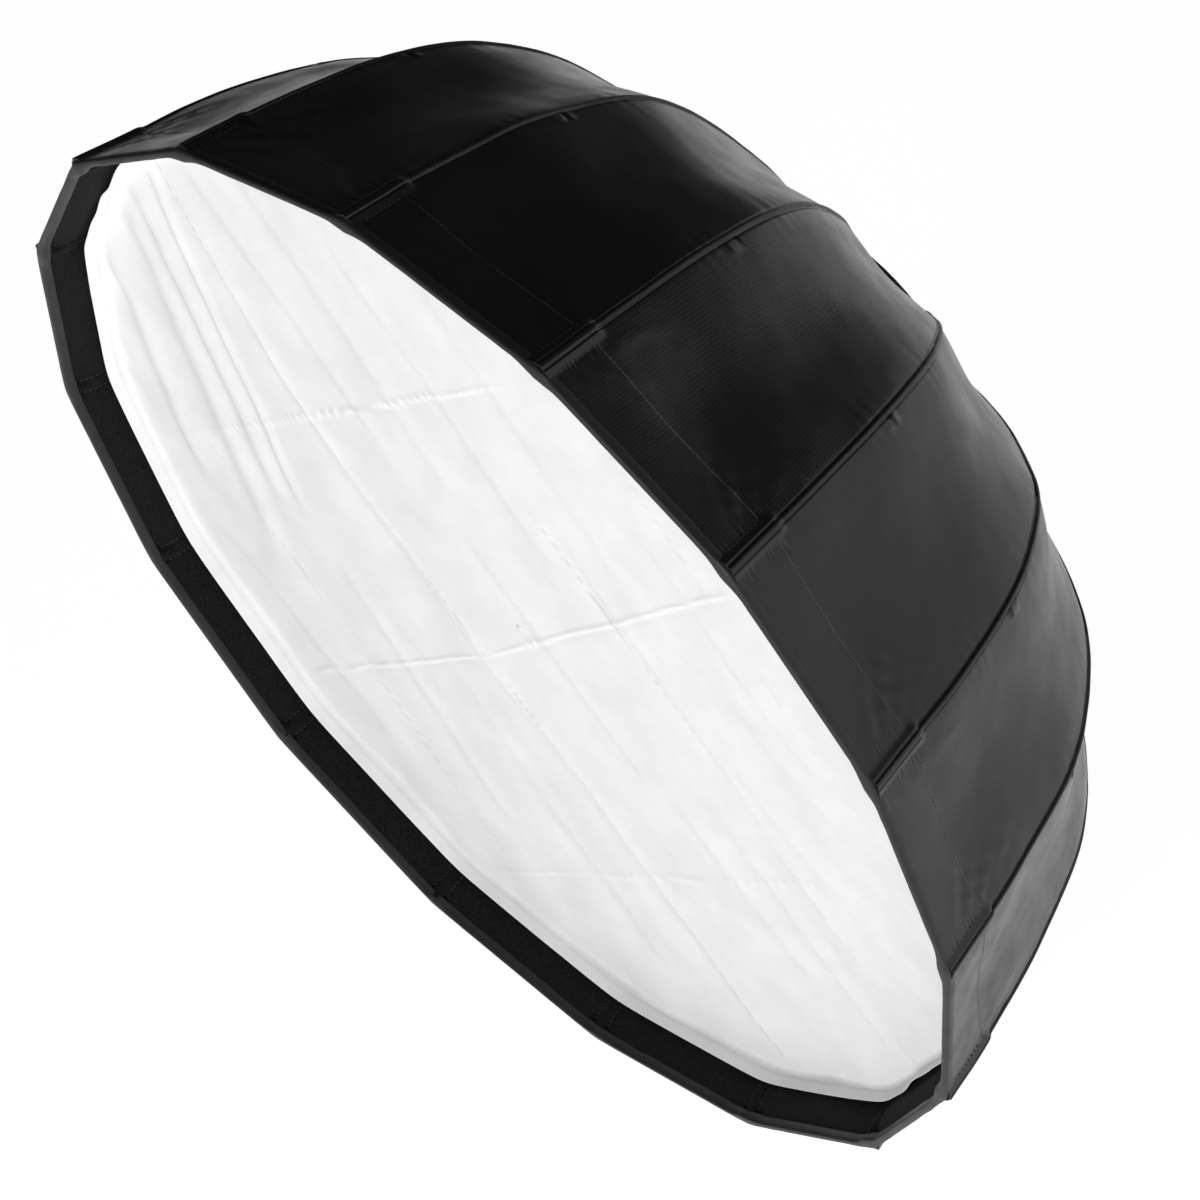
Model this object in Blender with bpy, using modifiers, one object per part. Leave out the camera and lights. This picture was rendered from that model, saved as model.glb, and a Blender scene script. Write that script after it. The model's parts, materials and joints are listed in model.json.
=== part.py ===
"""Round sixteen-rod studio softbox that folds like an umbrella.

The light's axis is +Y, the open front faces -Y and +Z is up. The origin is the centre of the
face where the bayonet insert seats on a lamp head. All sizes are in metres and radians.
"""

from math import cos, pi, radians, sin, tan

import bmesh
import bpy
from mathutils import Matrix, Vector

# ---------------------------------------------------------------- driving sizes

ROD_COUNT = 16
FRONT_DIAMETER = 0.900      # across two opposite corners of the front rim, outside the cloth
DEPTH = 0.365               # from the rods' pivot plane to the front rim
PIVOT_RADIUS = 0.084        # from the light's axis to each rod's pivot
FOLD_ANGLE = radians(48)    # how far each rod swings in when the softbox folds

CLEARANCE = 0.0003          # between pieces that only touch
RUNNING = 0.0004            # between pieces that slide or turn
CUT_PAST = 0.002            # how far a cut runs past the face that it opens
JOIN_DEPTH = 0.002          # how far two joined shapes run into each other

# The rods' curve
ROOT_TILT = radians(4)      # how far a rod's root leans forward from the radial direction
FRONT_TAPER = radians(11.1) # how far the shell still opens out at the front rim
ROOT_PULL = 0.228           # the control points of the rod's curve, as shares of its chord
FRONT_PULL = 0.652
BELLY_ALONG = 0.458
BELLY_RISE = 0.150
ROD_STATIONS = 12
ROD_RADIUS = 0.0025
TIP_RADIUS = 0.0035         # the moulded cap that stops the rod piercing its pocket
TIP_LENGTH = 0.016
TIP_STEP = 0.002            # over which the rod widens into its cap
TIP_SETBACK = 0.004         # from the front rim to the end of the cap

# Shell cloth, front lip, diffuser and inner baffle
CLOTH = 0.0010
SEAM_HALF_GAP = 0.0005
ROD_DEPTH = 0.0050          # from the shell's outside down to the rod's centre line
LIP_DEPTH = 0.045           # how far the lip's hook-and-loop band runs back
LIP_THICKNESS = 0.0015
LIP_INSET = 0.0092          # from the shell's outside to the lip's outside
BINDING = 0.0025            # thickness of the folded tape round the front rim
DIFFUSER_RECESS = 0.040
DIFFUSER_THICKNESS = 0.0015
BAFFLE_RECESS = 0.175
BAFFLE_GAP = 0.0197         # from the baffle's corners out to the rods' centre lines

# Rod brackets
BARREL_RADIUS = 0.0045
BARREL_WIDTH = 0.0092
SOCKET_RADIUS = 0.0045
SOCKET_LENGTH = 0.030
SOCKET_BORE_START = 0.010
MOUTH_GAP = 0.003           # from the socket's mouth to the shell's rear edge
LEVER_LENGTH = 0.020
LEVER_TILT = radians(25)    # how far the lever leans forward of radial at rest
LEVER_THICKNESS = 0.0030
LEVER_WIDTH = 0.0060
NUB_RADIUS = 0.0022
NUB_INSET = 0.00045         # how far each end of the nub lies inside the barrel's
SLOT_FLOOR = 0.001          # from the plate's front to the floor of the slots in the ribs
WIRE_RADIUS = 0.0015

# Bayonet insert
INSERT_BORE = 0.043
COLLAR_RADIUS = 0.047
COLLAR_HEIGHT = 0.009
LUG_RADIUS = 0.050
LUG_ARC = radians(42)
LUG_HEIGHT = 0.004
SEAT_RADIUS = 0.064
LIP_RING_RADIUS = 0.072     # the insert's gripped edge, which the lock screw bears on
LIP_RING_TOP = 0.004        # from the seating face to that edge
LIP_RING_HEIGHT = 0.007

# Speedring housing
HOUSING_MARGIN = 0.010      # from the pivots out to the housing's side
RIB_MARGIN = 0.014          # from the pivots in to the ribs' inner side
RIB_RISE = 0.007            # how far the ribs stand in front of the pivots
GUIDE_BORE = 0.047
GUIDE_WALL = 0.0035
GUIDE_FRONT = 0.056         # from the seating face to the front of the guide tube
PLATE_THICKNESS = 0.005

# Runner
RUNNER_WALL = 0.0036
RUNNER_STOP = 0.0006        # left between the runner and the plate when the softbox is folded
FLANGE_REACH = 0.0011       # how far the runner's flanges reach past the nubs' centres
FLANGE_THICKNESS = 0.0025
CHANNEL_PLAY = 0.0005
GRIP_LENGTH = 0.011
GRIP_RADIUS = 0.058

# Release buttons and rotation lock
BUTTON_AZIMUTHS = {"left": 1.5 * pi, "right": 0.5 * pi}
BUTTON_RADIUS = 0.0048
BUTTON_PROUD = 0.0055
BUTTON_TRAVEL = 0.0040
BUTTON_CAP = 0.009
STEM_RADIUS = 0.0030
STEM_SHORT = 0.003          # how far the stem stops short of the ribs' inner side
BUTTON_SETBACK = 0.0175
LOCK_AZIMUTH = pi
LOCK_SETBACK = 0.0075
LOCK_SCREW_RADIUS = 0.0025
KNOB_RADIUS = 0.013
KNOB_THICKNESS = 0.012
KNOB_STANDOFF = 0.0025
KNOB_SCALLOPS = 6
SCALLOP_RADIUS = 0.004

# Rear cuff: the elastic cloth collar that closes the shell on the housing
CUFF_THICKNESS = 0.0012
CUFF_OVERLAP = 0.008
CUFF_LIFT = 0.0009          # over the shell's rear edge, and over the sockets

# ---------------------------------------------------------------- sizes that follow

STEP = 2 * pi / ROD_COUNT
RIM_RADIUS = FRONT_DIAMETER / 2
ROOT_DIRECTION = Vector((cos(ROOT_TILT), -sin(ROOT_TILT)))
GUIDE_RADIUS = GUIDE_BORE + GUIDE_WALL
HOUSING_RADIUS = PIVOT_RADIUS + HOUSING_MARGIN
RIB_INNER_RADIUS = PIVOT_RADIUS - RIB_MARGIN
NUB_WIDTH = BARREL_WIDTH - 2 * NUB_INSET
NUB_ORBIT = PIVOT_RADIUS - LEVER_LENGTH * cos(LEVER_TILT)
FLANGE_RADIUS = NUB_ORBIT + FLANGE_REACH
CHANNEL_HALF = NUB_RADIUS + CHANNEL_PLAY
PLATE_REAR = -(LIP_RING_TOP + LIP_RING_HEIGHT + RUNNING)
PLATE_FRONT = PLATE_REAR - PLATE_THICKNESS
NUB_RISE = LEVER_LENGTH * sin(FOLD_ANGLE - LEVER_TILT)   # behind the pivots, when folded
PIVOT_Y = PLATE_FRONT - RUNNER_STOP - FLANGE_THICKNESS - CHANNEL_HALF - NUB_RISE
NUB_Y = PIVOT_Y - LEVER_LENGTH * sin(LEVER_TILT)
RIB_FRONT = PIVOT_Y - RIB_RISE
FRONT_Y = PIVOT_Y - DEPTH


def rod_azimuth(index):
    """Azimuth of rod index, from +Z towards +X. The top of the shell lies between two rods."""
    return (index + 0.5) * STEP


# ---------------------------------------------------------------- scene helpers

def clear_scene():
    for obj in list(bpy.data.objects):
        bpy.data.objects.remove(obj, do_unlink=True)


def new_collection(name):
    collection = bpy.data.collections.new(name)
    bpy.context.scene.collection.children.link(collection)
    return collection


clear_scene()
PARTS = new_collection("studio_softbox")
CUTTERS = new_collection("cutters")
CUTTERS.hide_render = True


def new_material(name, colour, roughness, metallic=0.0):
    material = bpy.data.materials.new(name)
    material.use_nodes = True
    shader = material.node_tree.nodes["Principled BSDF"]
    shader.inputs["Base Color"].default_value = (*colour, 1.0)
    shader.inputs["Roughness"].default_value = roughness
    shader.inputs["Metallic"].default_value = metallic
    return material


MATERIALS = {
    "shell_cloth": new_material("shell_cloth", (0.02, 0.02, 0.022), 0.6),
    "loop_cloth": new_material("loop_cloth", (0.012, 0.012, 0.013), 0.95),
    "diffuser_cloth": new_material("diffuser_cloth", (0.9, 0.9, 0.9), 0.8),
    "cuff_cloth": new_material("cuff_cloth", (0.02, 0.02, 0.02), 0.85),
    "glass_fibre": new_material("glass_fibre", (0.05, 0.05, 0.055), 0.4),
    "black_nylon": new_material("black_nylon", (0.03, 0.03, 0.032), 0.45),
    "black_alloy": new_material("black_alloy", (0.04, 0.04, 0.043), 0.4, 0.6),
    "bright_steel": new_material("bright_steel", (0.6, 0.6, 0.62), 0.3, 1.0),
    "red_nylon": new_material("red_nylon", (0.45, 0.03, 0.03), 0.4),
}


def add_object(name, data, material=None, collection=PARTS, parent=None):
    obj = bpy.data.objects.new(name, data)
    collection.objects.link(obj)
    if material:
        data.materials.clear()
        data.materials.append(MATERIALS[material])
    if parent:
        obj.parent = parent
    if collection is CUTTERS:
        obj.hide_render = True
        obj.display_type = "WIRE"
    return obj


def smooth(obj, angle=radians(35)):
    obj.data.shade_smooth()
    obj.data.set_sharp_from_angle(angle=angle)
    return obj


def mesh_from(build):
    """A mesh filled by build(bm), with its faces turned outwards."""
    bm = bmesh.new()
    build(bm)
    bmesh.ops.recalc_face_normals(bm, faces=bm.faces)
    mesh = bpy.data.meshes.new("shape")
    bm.to_mesh(mesh)
    bm.free()
    return mesh


def along(direction):
    """Rotation that turns +Z to direction."""
    return Vector(direction).to_track_quat("Z", "Y").to_matrix().to_4x4()


def cylinder(name, radius, length, centre, direction, segments=24, **kwargs):
    """A closed cylinder about direction, with its middle at centre."""
    placed = Matrix.Translation(centre) @ along(direction)

    def build(bm):
        bmesh.ops.create_cone(
            bm, cap_ends=True, segments=segments, radius1=radius, radius2=radius, depth=length, matrix=placed
        )

    return add_object(name, mesh_from(build), **kwargs)


def box(name, size, centre, rotation=Matrix.Identity(4), **kwargs):
    """A closed box of the given size, turned by rotation about its own middle."""
    placed = Matrix.Translation(centre) @ rotation @ Matrix.Diagonal((*size, 1.0))
    return add_object(name, mesh_from(lambda bm: bmesh.ops.create_cube(bm, size=1.0, matrix=placed)), **kwargs)


def boolean(obj, operation, other):
    modifier = obj.modifiers.new(operation.lower(), "BOOLEAN")
    modifier.operation = operation
    modifier.object = other
    return modifier


def turned(name, profile, material, steps=48, closed=True, phase=0.0, collection=PARTS):
    """A ring or disc turned about the light's axis. Profile points are (radius, y), down the outer side."""
    bm = bmesh.new()
    points = [bm.verts.new((radius, 0.0, y)) for radius, y in profile]
    for pair in zip(points, points[1:]):
        bm.edges.new(pair)
    if closed:
        bm.edges.new((points[-1], points[0]))
    mesh = bpy.data.meshes.new(name)
    bm.to_mesh(mesh)
    bm.free()
    obj = add_object(name, mesh, material, collection)
    obj.rotation_euler = (-pi / 2, phase, 0.0)
    screw = obj.modifiers.new("turn", "SCREW")
    screw.axis = "Z"
    screw.steps = steps
    screw.render_steps = steps
    screw.use_merge_vertices = True
    screw.merge_threshold = 0.00001
    screw.use_smooth_shade = False
    return obj


def baked(obj, name):
    """The mesh of an object as its modifiers leave it, with loose doubles welded. The object is removed."""
    bpy.context.view_layer.update()
    graph = bpy.context.evaluated_depsgraph_get()
    mesh = bpy.data.meshes.new_from_object(obj.evaluated_get(graph))
    mesh.name = name
    bm = bmesh.new()
    bm.from_mesh(mesh)
    bmesh.ops.remove_doubles(bm, verts=bm.verts, dist=0.000005)
    bm.to_mesh(mesh)
    bm.free()
    bpy.data.objects.remove(obj, do_unlink=True)
    return mesh


def radial(azimuth, radius, y):
    """A point at this azimuth, distance from the light's axis and y."""
    return Vector((radius * sin(azimuth), y, radius * cos(azimuth)))


# ---------------------------------------------------------------- the rods' curve

def front_corner(inset, setback):
    """(radius, y) of a point inset from the shell's outside and set back from the rim, along the taper."""
    inward = Vector((-cos(FRONT_TAPER), -sin(FRONT_TAPER)))
    back = Vector((-sin(FRONT_TAPER), cos(FRONT_TAPER)))
    return Vector((RIM_RADIUS, FRONT_Y)) + inward * inset + back * setback


def pulled_curve(points, t):
    """The point and the direction at t, from 0 to 1, on the smooth curve that these control points pull."""
    while len(points) > 2:
        points = [a.lerp(b, t) for a, b in zip(points, points[1:])]
    return points[0].lerp(points[1], t), (points[1] - points[0]).normalized()


def rod_curve():
    """Points and outward directions, as (radius, y) pairs, from just past the bracket's mouth to the tip."""
    start = Vector((PIVOT_RADIUS, PIVOT_Y)) + ROOT_DIRECTION * (SOCKET_LENGTH + MOUTH_GAP)
    tip = front_corner(ROD_DEPTH, TIP_SETBACK)
    chord = tip - start
    across = Vector((-chord.y, chord.x))
    back = Vector((-sin(FRONT_TAPER), cos(FRONT_TAPER)))
    root_handle = start + ROOT_DIRECTION * ROOT_PULL * chord.length
    belly = start + chord * BELLY_ALONG + across * BELLY_RISE
    front_handle = tip + back * FRONT_PULL * chord.length
    points, outward = [], []
    for station in range(ROD_STATIONS):
        share = station / (ROD_STATIONS - 1)
        point, slope = pulled_curve([start, root_handle, belly, front_handle, tip], share)
        points.append(point)
        outward.append(Vector((-slope.y, slope.x)))
    return points, outward


ROD_POINTS, ROD_OUTWARD = rod_curve()
SHELL_POINTS = [p + n * ROD_DEPTH for p, n in zip(ROD_POINTS, ROD_OUTWARD)]


def in_hinge_frame(point, azimuth=0.0):
    """(radius, y) at this azimuth from the rod's plane, as a point in the rod's hinge frame."""
    return radial(azimuth, point.x, point.y) - Vector((0.0, PIVOT_Y, PIVOT_RADIUS))


# ---------------------------------------------------------------- bayonet insert, housing, rear cover

def bayonet_insert():
    insert = turned(
        "bayonet_insert",
        [
            (COLLAR_RADIUS, COLLAR_HEIGHT),
            (COLLAR_RADIUS, 0.0),
            (SEAT_RADIUS, 0.0),
            (SEAT_RADIUS, -LIP_RING_TOP),
            (LIP_RING_RADIUS, -LIP_RING_TOP),
            (LIP_RING_RADIUS, -LIP_RING_TOP - LIP_RING_HEIGHT),
            (INSERT_BORE, -LIP_RING_TOP - LIP_RING_HEIGHT),
            (INSERT_BORE, COLLAR_HEIGHT),
        ],
        "bright_steel",
    )
    for lug in range(3):
        lug_mesh = mesh_from(lambda bm: arc_block(bm, lug * 2 * pi / 3, LUG_ARC))
        boolean(insert, "UNION", add_object(f"lug_{lug + 1}", lug_mesh, collection=CUTTERS))
    return insert


def arc_block(bm, azimuth, arc, segments=6):
    """One bayonet lug: a curved block that stands out from the collar's end."""
    inner = (INSERT_BORE + COLLAR_RADIUS) / 2
    rings = []
    for y in (COLLAR_HEIGHT - LUG_HEIGHT, COLLAR_HEIGHT - CLEARANCE):
        angles = [azimuth + arc * (i / segments - 0.5) for i in range(segments + 1)]
        outline = [radial(a, LUG_RADIUS, y) for a in angles] + [radial(a, inner, y) for a in reversed(angles)]
        rings.append([bm.verts.new(point) for point in outline])
    low, high = rings
    bm.faces.new(low)
    bm.faces.new(high)
    for i, vertex in enumerate(low):
        j = (i + 1) % len(low)
        bm.faces.new((vertex, low[j], high[j], high[i]))


def speedring_housing():
    housing = turned(
        "speedring_housing",
        [
            (HOUSING_RADIUS, -LIP_RING_TOP),
            (HOUSING_RADIUS, RIB_FRONT),
            (RIB_INNER_RADIUS, RIB_FRONT),
            (RIB_INNER_RADIUS, PLATE_FRONT),
            (GUIDE_RADIUS, PLATE_FRONT),
            (GUIDE_RADIUS, -GUIDE_FRONT),
            (GUIDE_BORE, -GUIDE_FRONT),
            (GUIDE_BORE, PLATE_REAR),
            (LIP_RING_RADIUS + RUNNING, PLATE_REAR),
            (LIP_RING_RADIUS + RUNNING, -LIP_RING_TOP),
        ],
        "black_nylon",
    )
    for side, azimuth in BUTTON_AZIMUTHS.items():
        for cutter in button_hole(side, azimuth):
            boolean(housing, "DIFFERENCE", cutter)
    boolean(housing, "DIFFERENCE", lock_screw_hole())
    boolean(housing, "DIFFERENCE", wire_groove())
    for index in range(ROD_COUNT):
        boolean(housing, "DIFFERENCE", rod_slot(index))
    return housing


def wire_groove():
    """The ring-shaped channel, open to the front, that the hinge wire lies in."""
    corner = PIVOT_RADIUS / cos(STEP / 2)
    floor = PIVOT_Y + WIRE_RADIUS + CLEARANCE
    inner = PIVOT_RADIUS - WIRE_RADIUS - 3 * CLEARANCE
    outer = corner + WIRE_RADIUS + 3 * CLEARANCE
    front = RIB_FRONT - CUT_PAST
    return turned("wire_groove", [(outer, floor), (outer, front), (inner, front), (inner, floor)], None,
                  collection=CUTTERS)


def rod_slot(index):
    """The radial slot that one rod bracket swings in."""
    inner = RIB_INNER_RADIUS - CUT_PAST
    outer = HOUSING_RADIUS + CUT_PAST
    floor = PLATE_FRONT - SLOT_FLOOR
    front = RIB_FRONT - CUT_PAST
    width = max(BARREL_WIDTH, 2 * SOCKET_RADIUS, LEVER_WIDTH) + 2 * RUNNING
    turn = Matrix.Rotation(rod_azimuth(index), 4, "Y")
    centre = radial(rod_azimuth(index), (inner + outer) / 2, (floor + front) / 2)
    size = (width, floor - front, outer - inner)
    return box(f"rod_slot_{index + 1:02d}", size, centre, turn, collection=CUTTERS)


def button_hole(side, azimuth):
    """A counterbore for the button's cap, and a smaller hole for its stem."""
    pocket = HOUSING_RADIUS + BUTTON_PROUD - BUTTON_CAP - BUTTON_TRAVEL - CLEARANCE
    outer = HOUSING_RADIUS + CUT_PAST
    inner = RIB_INNER_RADIUS - CUT_PAST
    joined = pocket + JOIN_DEPTH
    direction = radial(azimuth, 1.0, 0.0)
    cap = cylinder(f"button_pocket_{side}", BUTTON_RADIUS + RUNNING, outer - pocket,
                   radial(azimuth, (outer + pocket) / 2, -BUTTON_SETBACK), direction, collection=CUTTERS)
    stem = cylinder(f"button_stem_hole_{side}", STEM_RADIUS + RUNNING, joined - inner,
                    radial(azimuth, (joined + inner) / 2, -BUTTON_SETBACK), direction, collection=CUTTERS)
    return cap, stem


def lock_screw_hole():
    inner = LIP_RING_RADIUS - CUT_PAST
    outer = HOUSING_RADIUS + CUT_PAST
    return cylinder("lock_screw_hole", LOCK_SCREW_RADIUS + RUNNING, outer - inner,
                    radial(LOCK_AZIMUTH, (inner + outer) / 2, -LOCK_SETBACK), radial(LOCK_AZIMUTH, 1.0, 0.0),
                    collection=CUTTERS)


def rear_cover_ring():
    """The flat ring, screwed on from behind, that keeps the insert in the housing."""
    front = -LIP_RING_TOP + CLEARANCE
    inner = SEAT_RADIUS + RUNNING
    return turned("rear_cover_ring",
                  [(HOUSING_RADIUS, -CLEARANCE), (HOUSING_RADIUS, front), (inner, front), (inner, -CLEARANCE)],
                  "black_alloy")


def hinge_wire():
    """One steel wire bent to a polygon, whose straight sides are the sixteen rods' hinge pins."""
    wire = bpy.data.curves.new("hinge_wire", "CURVE")
    wire.dimensions = "3D"
    wire.bevel_depth = WIRE_RADIUS
    wire.bevel_resolution = 2
    spline = wire.splines.new("POLY")
    spline.points.add(ROD_COUNT - 1)
    spline.use_cyclic_u = True
    for index, point in enumerate(spline.points):
        point.co = (*radial(index * STEP, PIVOT_RADIUS / cos(STEP / 2), PIVOT_Y), 1.0)
    return add_object("hinge_wire", wire, "bright_steel")


# ---------------------------------------------------------------- runner, buttons, rotation lock

def runner():
    """The sliding ring whose channel carries every bracket's nub, so that all rods move together."""
    bore = GUIDE_RADIUS + RUNNING
    wall = bore + RUNNER_WALL
    rear = NUB_Y + CHANNEL_HALF + FLANGE_THICKNESS
    front = NUB_Y - CHANNEL_HALF - FLANGE_THICKNESS
    grip_front = front - GRIP_LENGTH
    return turned(
        "runner",
        [
            (FLANGE_RADIUS, rear),
            (FLANGE_RADIUS, NUB_Y + CHANNEL_HALF),
            (wall, NUB_Y + CHANNEL_HALF),
            (wall, NUB_Y - CHANNEL_HALF),
            (FLANGE_RADIUS, NUB_Y - CHANNEL_HALF),
            (FLANGE_RADIUS, front),
            (wall, front),
            (wall, grip_front + GRIP_LENGTH / 2),
            (GRIP_RADIUS, grip_front + GRIP_LENGTH / 3),
            (GRIP_RADIUS, grip_front),
            (bore, grip_front),
            (bore, rear),
        ],
        "black_nylon",
    )


def release_button(side, azimuth):
    """A push button in the housing's side, on an empty at its place on the rim."""
    seat = bpy.data.objects.new(f"release_button_{side}_axis", None)
    PARTS.objects.link(seat)
    seat.location = radial(azimuth, HOUSING_RADIUS, -BUTTON_SETBACK)
    seat.rotation_euler = (0.0, azimuth, 0.0)
    inner = BUTTON_PROUD - BUTTON_CAP
    outward = (0.0, 0.0, 1.0)
    cap = cylinder(f"release_button_{side}", BUTTON_RADIUS, BUTTON_CAP, (0, 0, BUTTON_PROUD - BUTTON_CAP / 2),
                   outward, material="red_nylon", parent=seat)
    joined = inner + JOIN_DEPTH
    stem_length = HOUSING_RADIUS + joined - RIB_INNER_RADIUS - STEM_SHORT
    stem = cylinder(f"button_stem_{side}", STEM_RADIUS, stem_length, (0, 0, joined - stem_length / 2),
                    outward, collection=CUTTERS, parent=seat)
    boolean(cap, "UNION", stem)
    return smooth(cap)


def rotation_lock_knob():
    """A scalloped knob on a screw that bears on the insert's gripped edge."""
    seat = bpy.data.objects.new("rotation_lock_axis", None)
    PARTS.objects.link(seat)
    seat.location = radial(LOCK_AZIMUTH, HOUSING_RADIUS, -LOCK_SETBACK)
    seat.rotation_euler = (0.0, LOCK_AZIMUTH, 0.0)
    outward = (0.0, 0.0, 1.0)
    middle = KNOB_STANDOFF + KNOB_THICKNESS / 2
    knob = cylinder("rotation_lock_knob", KNOB_RADIUS, KNOB_THICKNESS, (0, 0, middle), outward, 48,
                    material="black_nylon", parent=seat)
    reach = HOUSING_RADIUS - LIP_RING_RADIUS - RUNNING
    screw_length = reach + KNOB_STANDOFF + JOIN_DEPTH
    screw = cylinder("lock_screw", LOCK_SCREW_RADIUS, screw_length, (0, 0, screw_length / 2 - reach), outward,
                     16, collection=CUTTERS, parent=seat)
    boolean(knob, "UNION", screw)
    for index in range(KNOB_SCALLOPS):
        turn = index * 2 * pi / KNOB_SCALLOPS
        at = Vector((cos(turn), sin(turn), 0)) * (KNOB_RADIUS + SCALLOP_RADIUS * 0.5)
        at.z = middle
        scallop = cylinder(f"scallop_{index + 1}", SCALLOP_RADIUS, KNOB_THICKNESS * 2, at, outward, 16,
                           collection=CUTTERS, parent=seat)
        boolean(knob, "DIFFERENCE", scallop)
    return smooth(knob)


# ---------------------------------------------------------------- rods, brackets and shell panels

def bracket_mesh():
    """One moulded bracket in its hinge frame: socket, barrel on the wire, lever and nub."""
    across = (1.0, 0.0, 0.0)
    socket_way = Vector((0.0, -sin(ROOT_TILT), cos(ROOT_TILT)))
    lever_way = Vector((0.0, -sin(LEVER_TILT), -cos(LEVER_TILT)))
    barrel = cylinder("barrel", BARREL_RADIUS, BARREL_WIDTH, (0, 0, 0), across, 14, collection=CUTTERS)
    socket = cylinder("socket", SOCKET_RADIUS, SOCKET_LENGTH, socket_way * SOCKET_LENGTH / 2, socket_way, 12,
                      collection=CUTTERS)
    lever = box("lever", (LEVER_WIDTH, LEVER_THICKNESS, LEVER_LENGTH), lever_way * LEVER_LENGTH / 2,
                along(lever_way), collection=CUTTERS)
    nub = cylinder("nub", NUB_RADIUS, NUB_WIDTH, lever_way * LEVER_LENGTH, across, 8, collection=CUTTERS)
    bore_length = SOCKET_LENGTH - SOCKET_BORE_START + CUT_PAST
    rod_bore = cylinder("rod_bore", ROD_RADIUS + RUNNING, bore_length,
                        socket_way * (SOCKET_BORE_START + bore_length / 2), socket_way, 10, collection=CUTTERS)
    wire_bore = cylinder("wire_bore", WIRE_RADIUS + RUNNING, BARREL_WIDTH * 2, (0, 0, 0), across, 10,
                         collection=CUTTERS)
    for piece in (socket, lever, nub):
        boolean(barrel, "UNION", piece)
    for hole in (rod_bore, wire_bore):
        boolean(barrel, "DIFFERENCE", hole)
    return baked(barrel, "rod_bracket")


def rod_data():
    """The bent rod in its hinge frame, as one bevelled line with a thicker cap at the tip."""
    root = Vector((PIVOT_RADIUS, PIVOT_Y)) + ROOT_DIRECTION * (SOCKET_BORE_START + CLEARANCE)
    line = [root] + ROD_POINTS
    tip_start = line[-1] + (line[-2] - line[-1]).normalized() * TIP_LENGTH
    step_start = line[-1] + (line[-2] - line[-1]).normalized() * (TIP_LENGTH + TIP_STEP)
    line[-1:] = [step_start, tip_start, line[-1]]
    curve = bpy.data.curves.new("rod", "CURVE")
    curve.dimensions = "3D"
    curve.bevel_depth = ROD_RADIUS
    curve.bevel_resolution = 2
    curve.use_fill_caps = True
    spline = curve.splines.new("POLY")
    spline.points.add(len(line) - 1)
    for point, place in zip(spline.points, line):
        point.co = (*in_hinge_frame(place), 1.0)
    for point in spline.points[-2:]:
        point.radius = TIP_RADIUS / ROD_RADIUS
    curve.materials.append(MATERIALS["glass_fibre"])
    return curve


def panel_mesh():
    """One gore of cloth between two rods, as an open sheet in the first rod's hinge frame."""
    rows = []
    for point in SHELL_POINTS:
        left = in_hinge_frame(point)
        right = in_hinge_frame(point, STEP)
        inset = (right - left).normalized() * SEAM_HALF_GAP
        rows.append((left + inset, right - inset))

    def build(bm):
        made = [[bm.verts.new(place) for place in row] for row in rows]
        for (a, b), (c, d) in zip(made, made[1:]):
            bm.faces.new((a, b, d, c))

    mesh = mesh_from(build)
    middle = mesh.polygons[len(mesh.polygons) // 2]
    if middle.normal.z < 0:
        mesh.flip_normals()
    return mesh


def rods_and_shell():
    bracket, rod, panel = bracket_mesh(), rod_data(), panel_mesh()
    for index in range(ROD_COUNT):
        number = f"{index + 1:02d}"
        hinge = bpy.data.objects.new(f"rod_{number}_hinge", None)
        PARTS.objects.link(hinge)
        hinge.location = radial(rod_azimuth(index), PIVOT_RADIUS, PIVOT_Y)
        hinge.rotation_euler = (0.0, rod_azimuth(index), 0.0)
        smooth(add_object(f"rod_bracket_{number}", bracket, "black_nylon", parent=hinge))
        add_object(f"rod_{number}", rod, parent=hinge)
        gore = add_object(f"shell_panel_{number}", panel, "shell_cloth", parent=hinge)
        thickness = gore.modifiers.new("cloth", "SOLIDIFY")
        thickness.thickness = CLOTH
        thickness.offset = -1.0
        thickness.use_even_offset = True


# ---------------------------------------------------------------- cuff, lip, diffuser and baffle

def rear_cuff():
    """The elastic collar from the housing's rim out over the shell's rear edge."""
    edge = SHELL_POINTS[0]
    end_radius = edge.x + CUFF_OVERLAP
    end_y = edge.y - CUFF_OVERLAP * tan(ROOT_TILT) + CUFF_LIFT
    inner = HOUSING_RADIUS + RUNNING
    rise = PIVOT_Y + SOCKET_RADIUS + CUFF_LIFT + CLEARANCE
    return turned(
        "rear_cuff",
        [
            (end_radius, end_y + CUFF_THICKNESS),
            (end_radius, end_y),
            (inner, rise),
            (inner, rise + CUFF_THICKNESS),
        ],
        "cuff_cloth",
    )


def lip_corner(inset, setback):
    """(radius, y) of a point inset from the shell's outside and set back along the rods' last stretch."""
    back = (ROD_POINTS[-2] - ROD_POINTS[-1]).normalized()
    return Vector((RIM_RADIUS, FRONT_Y)) + Vector((-back.y, back.x)) * inset + back * setback


def front_lip():
    """The taped front rim and the hook-and-loop band that runs back inside it."""
    outer_front = lip_corner(0.0, 0.0)
    outer_back = lip_corner(0.0, BINDING)
    band_front = lip_corner(LIP_INSET, BINDING)
    band_back = lip_corner(LIP_INSET, LIP_DEPTH)
    inner_front = Vector((lip_corner(LIP_INSET + LIP_THICKNESS, 0.0).x, FRONT_Y))
    inner_back = lip_corner(LIP_INSET + LIP_THICKNESS, LIP_DEPTH)
    outline = [band_back, band_front, outer_back, outer_front, inner_front, inner_back]
    return turned("front_lip", [tuple(point) for point in outline], "loop_cloth", ROD_COUNT, phase=STEP / 2)


def cloth_disc(name, recess, radius, thickness):
    """A flat many-sided disc of white cloth with a corner at every rod."""
    rear = FRONT_Y + recess
    front = rear - thickness
    outline = [(0.0, rear), (radius, rear), (radius, front), (0.0, front)]
    return turned(name, outline, "diffuser_cloth", ROD_COUNT, closed=False, phase=STEP / 2)


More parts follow.
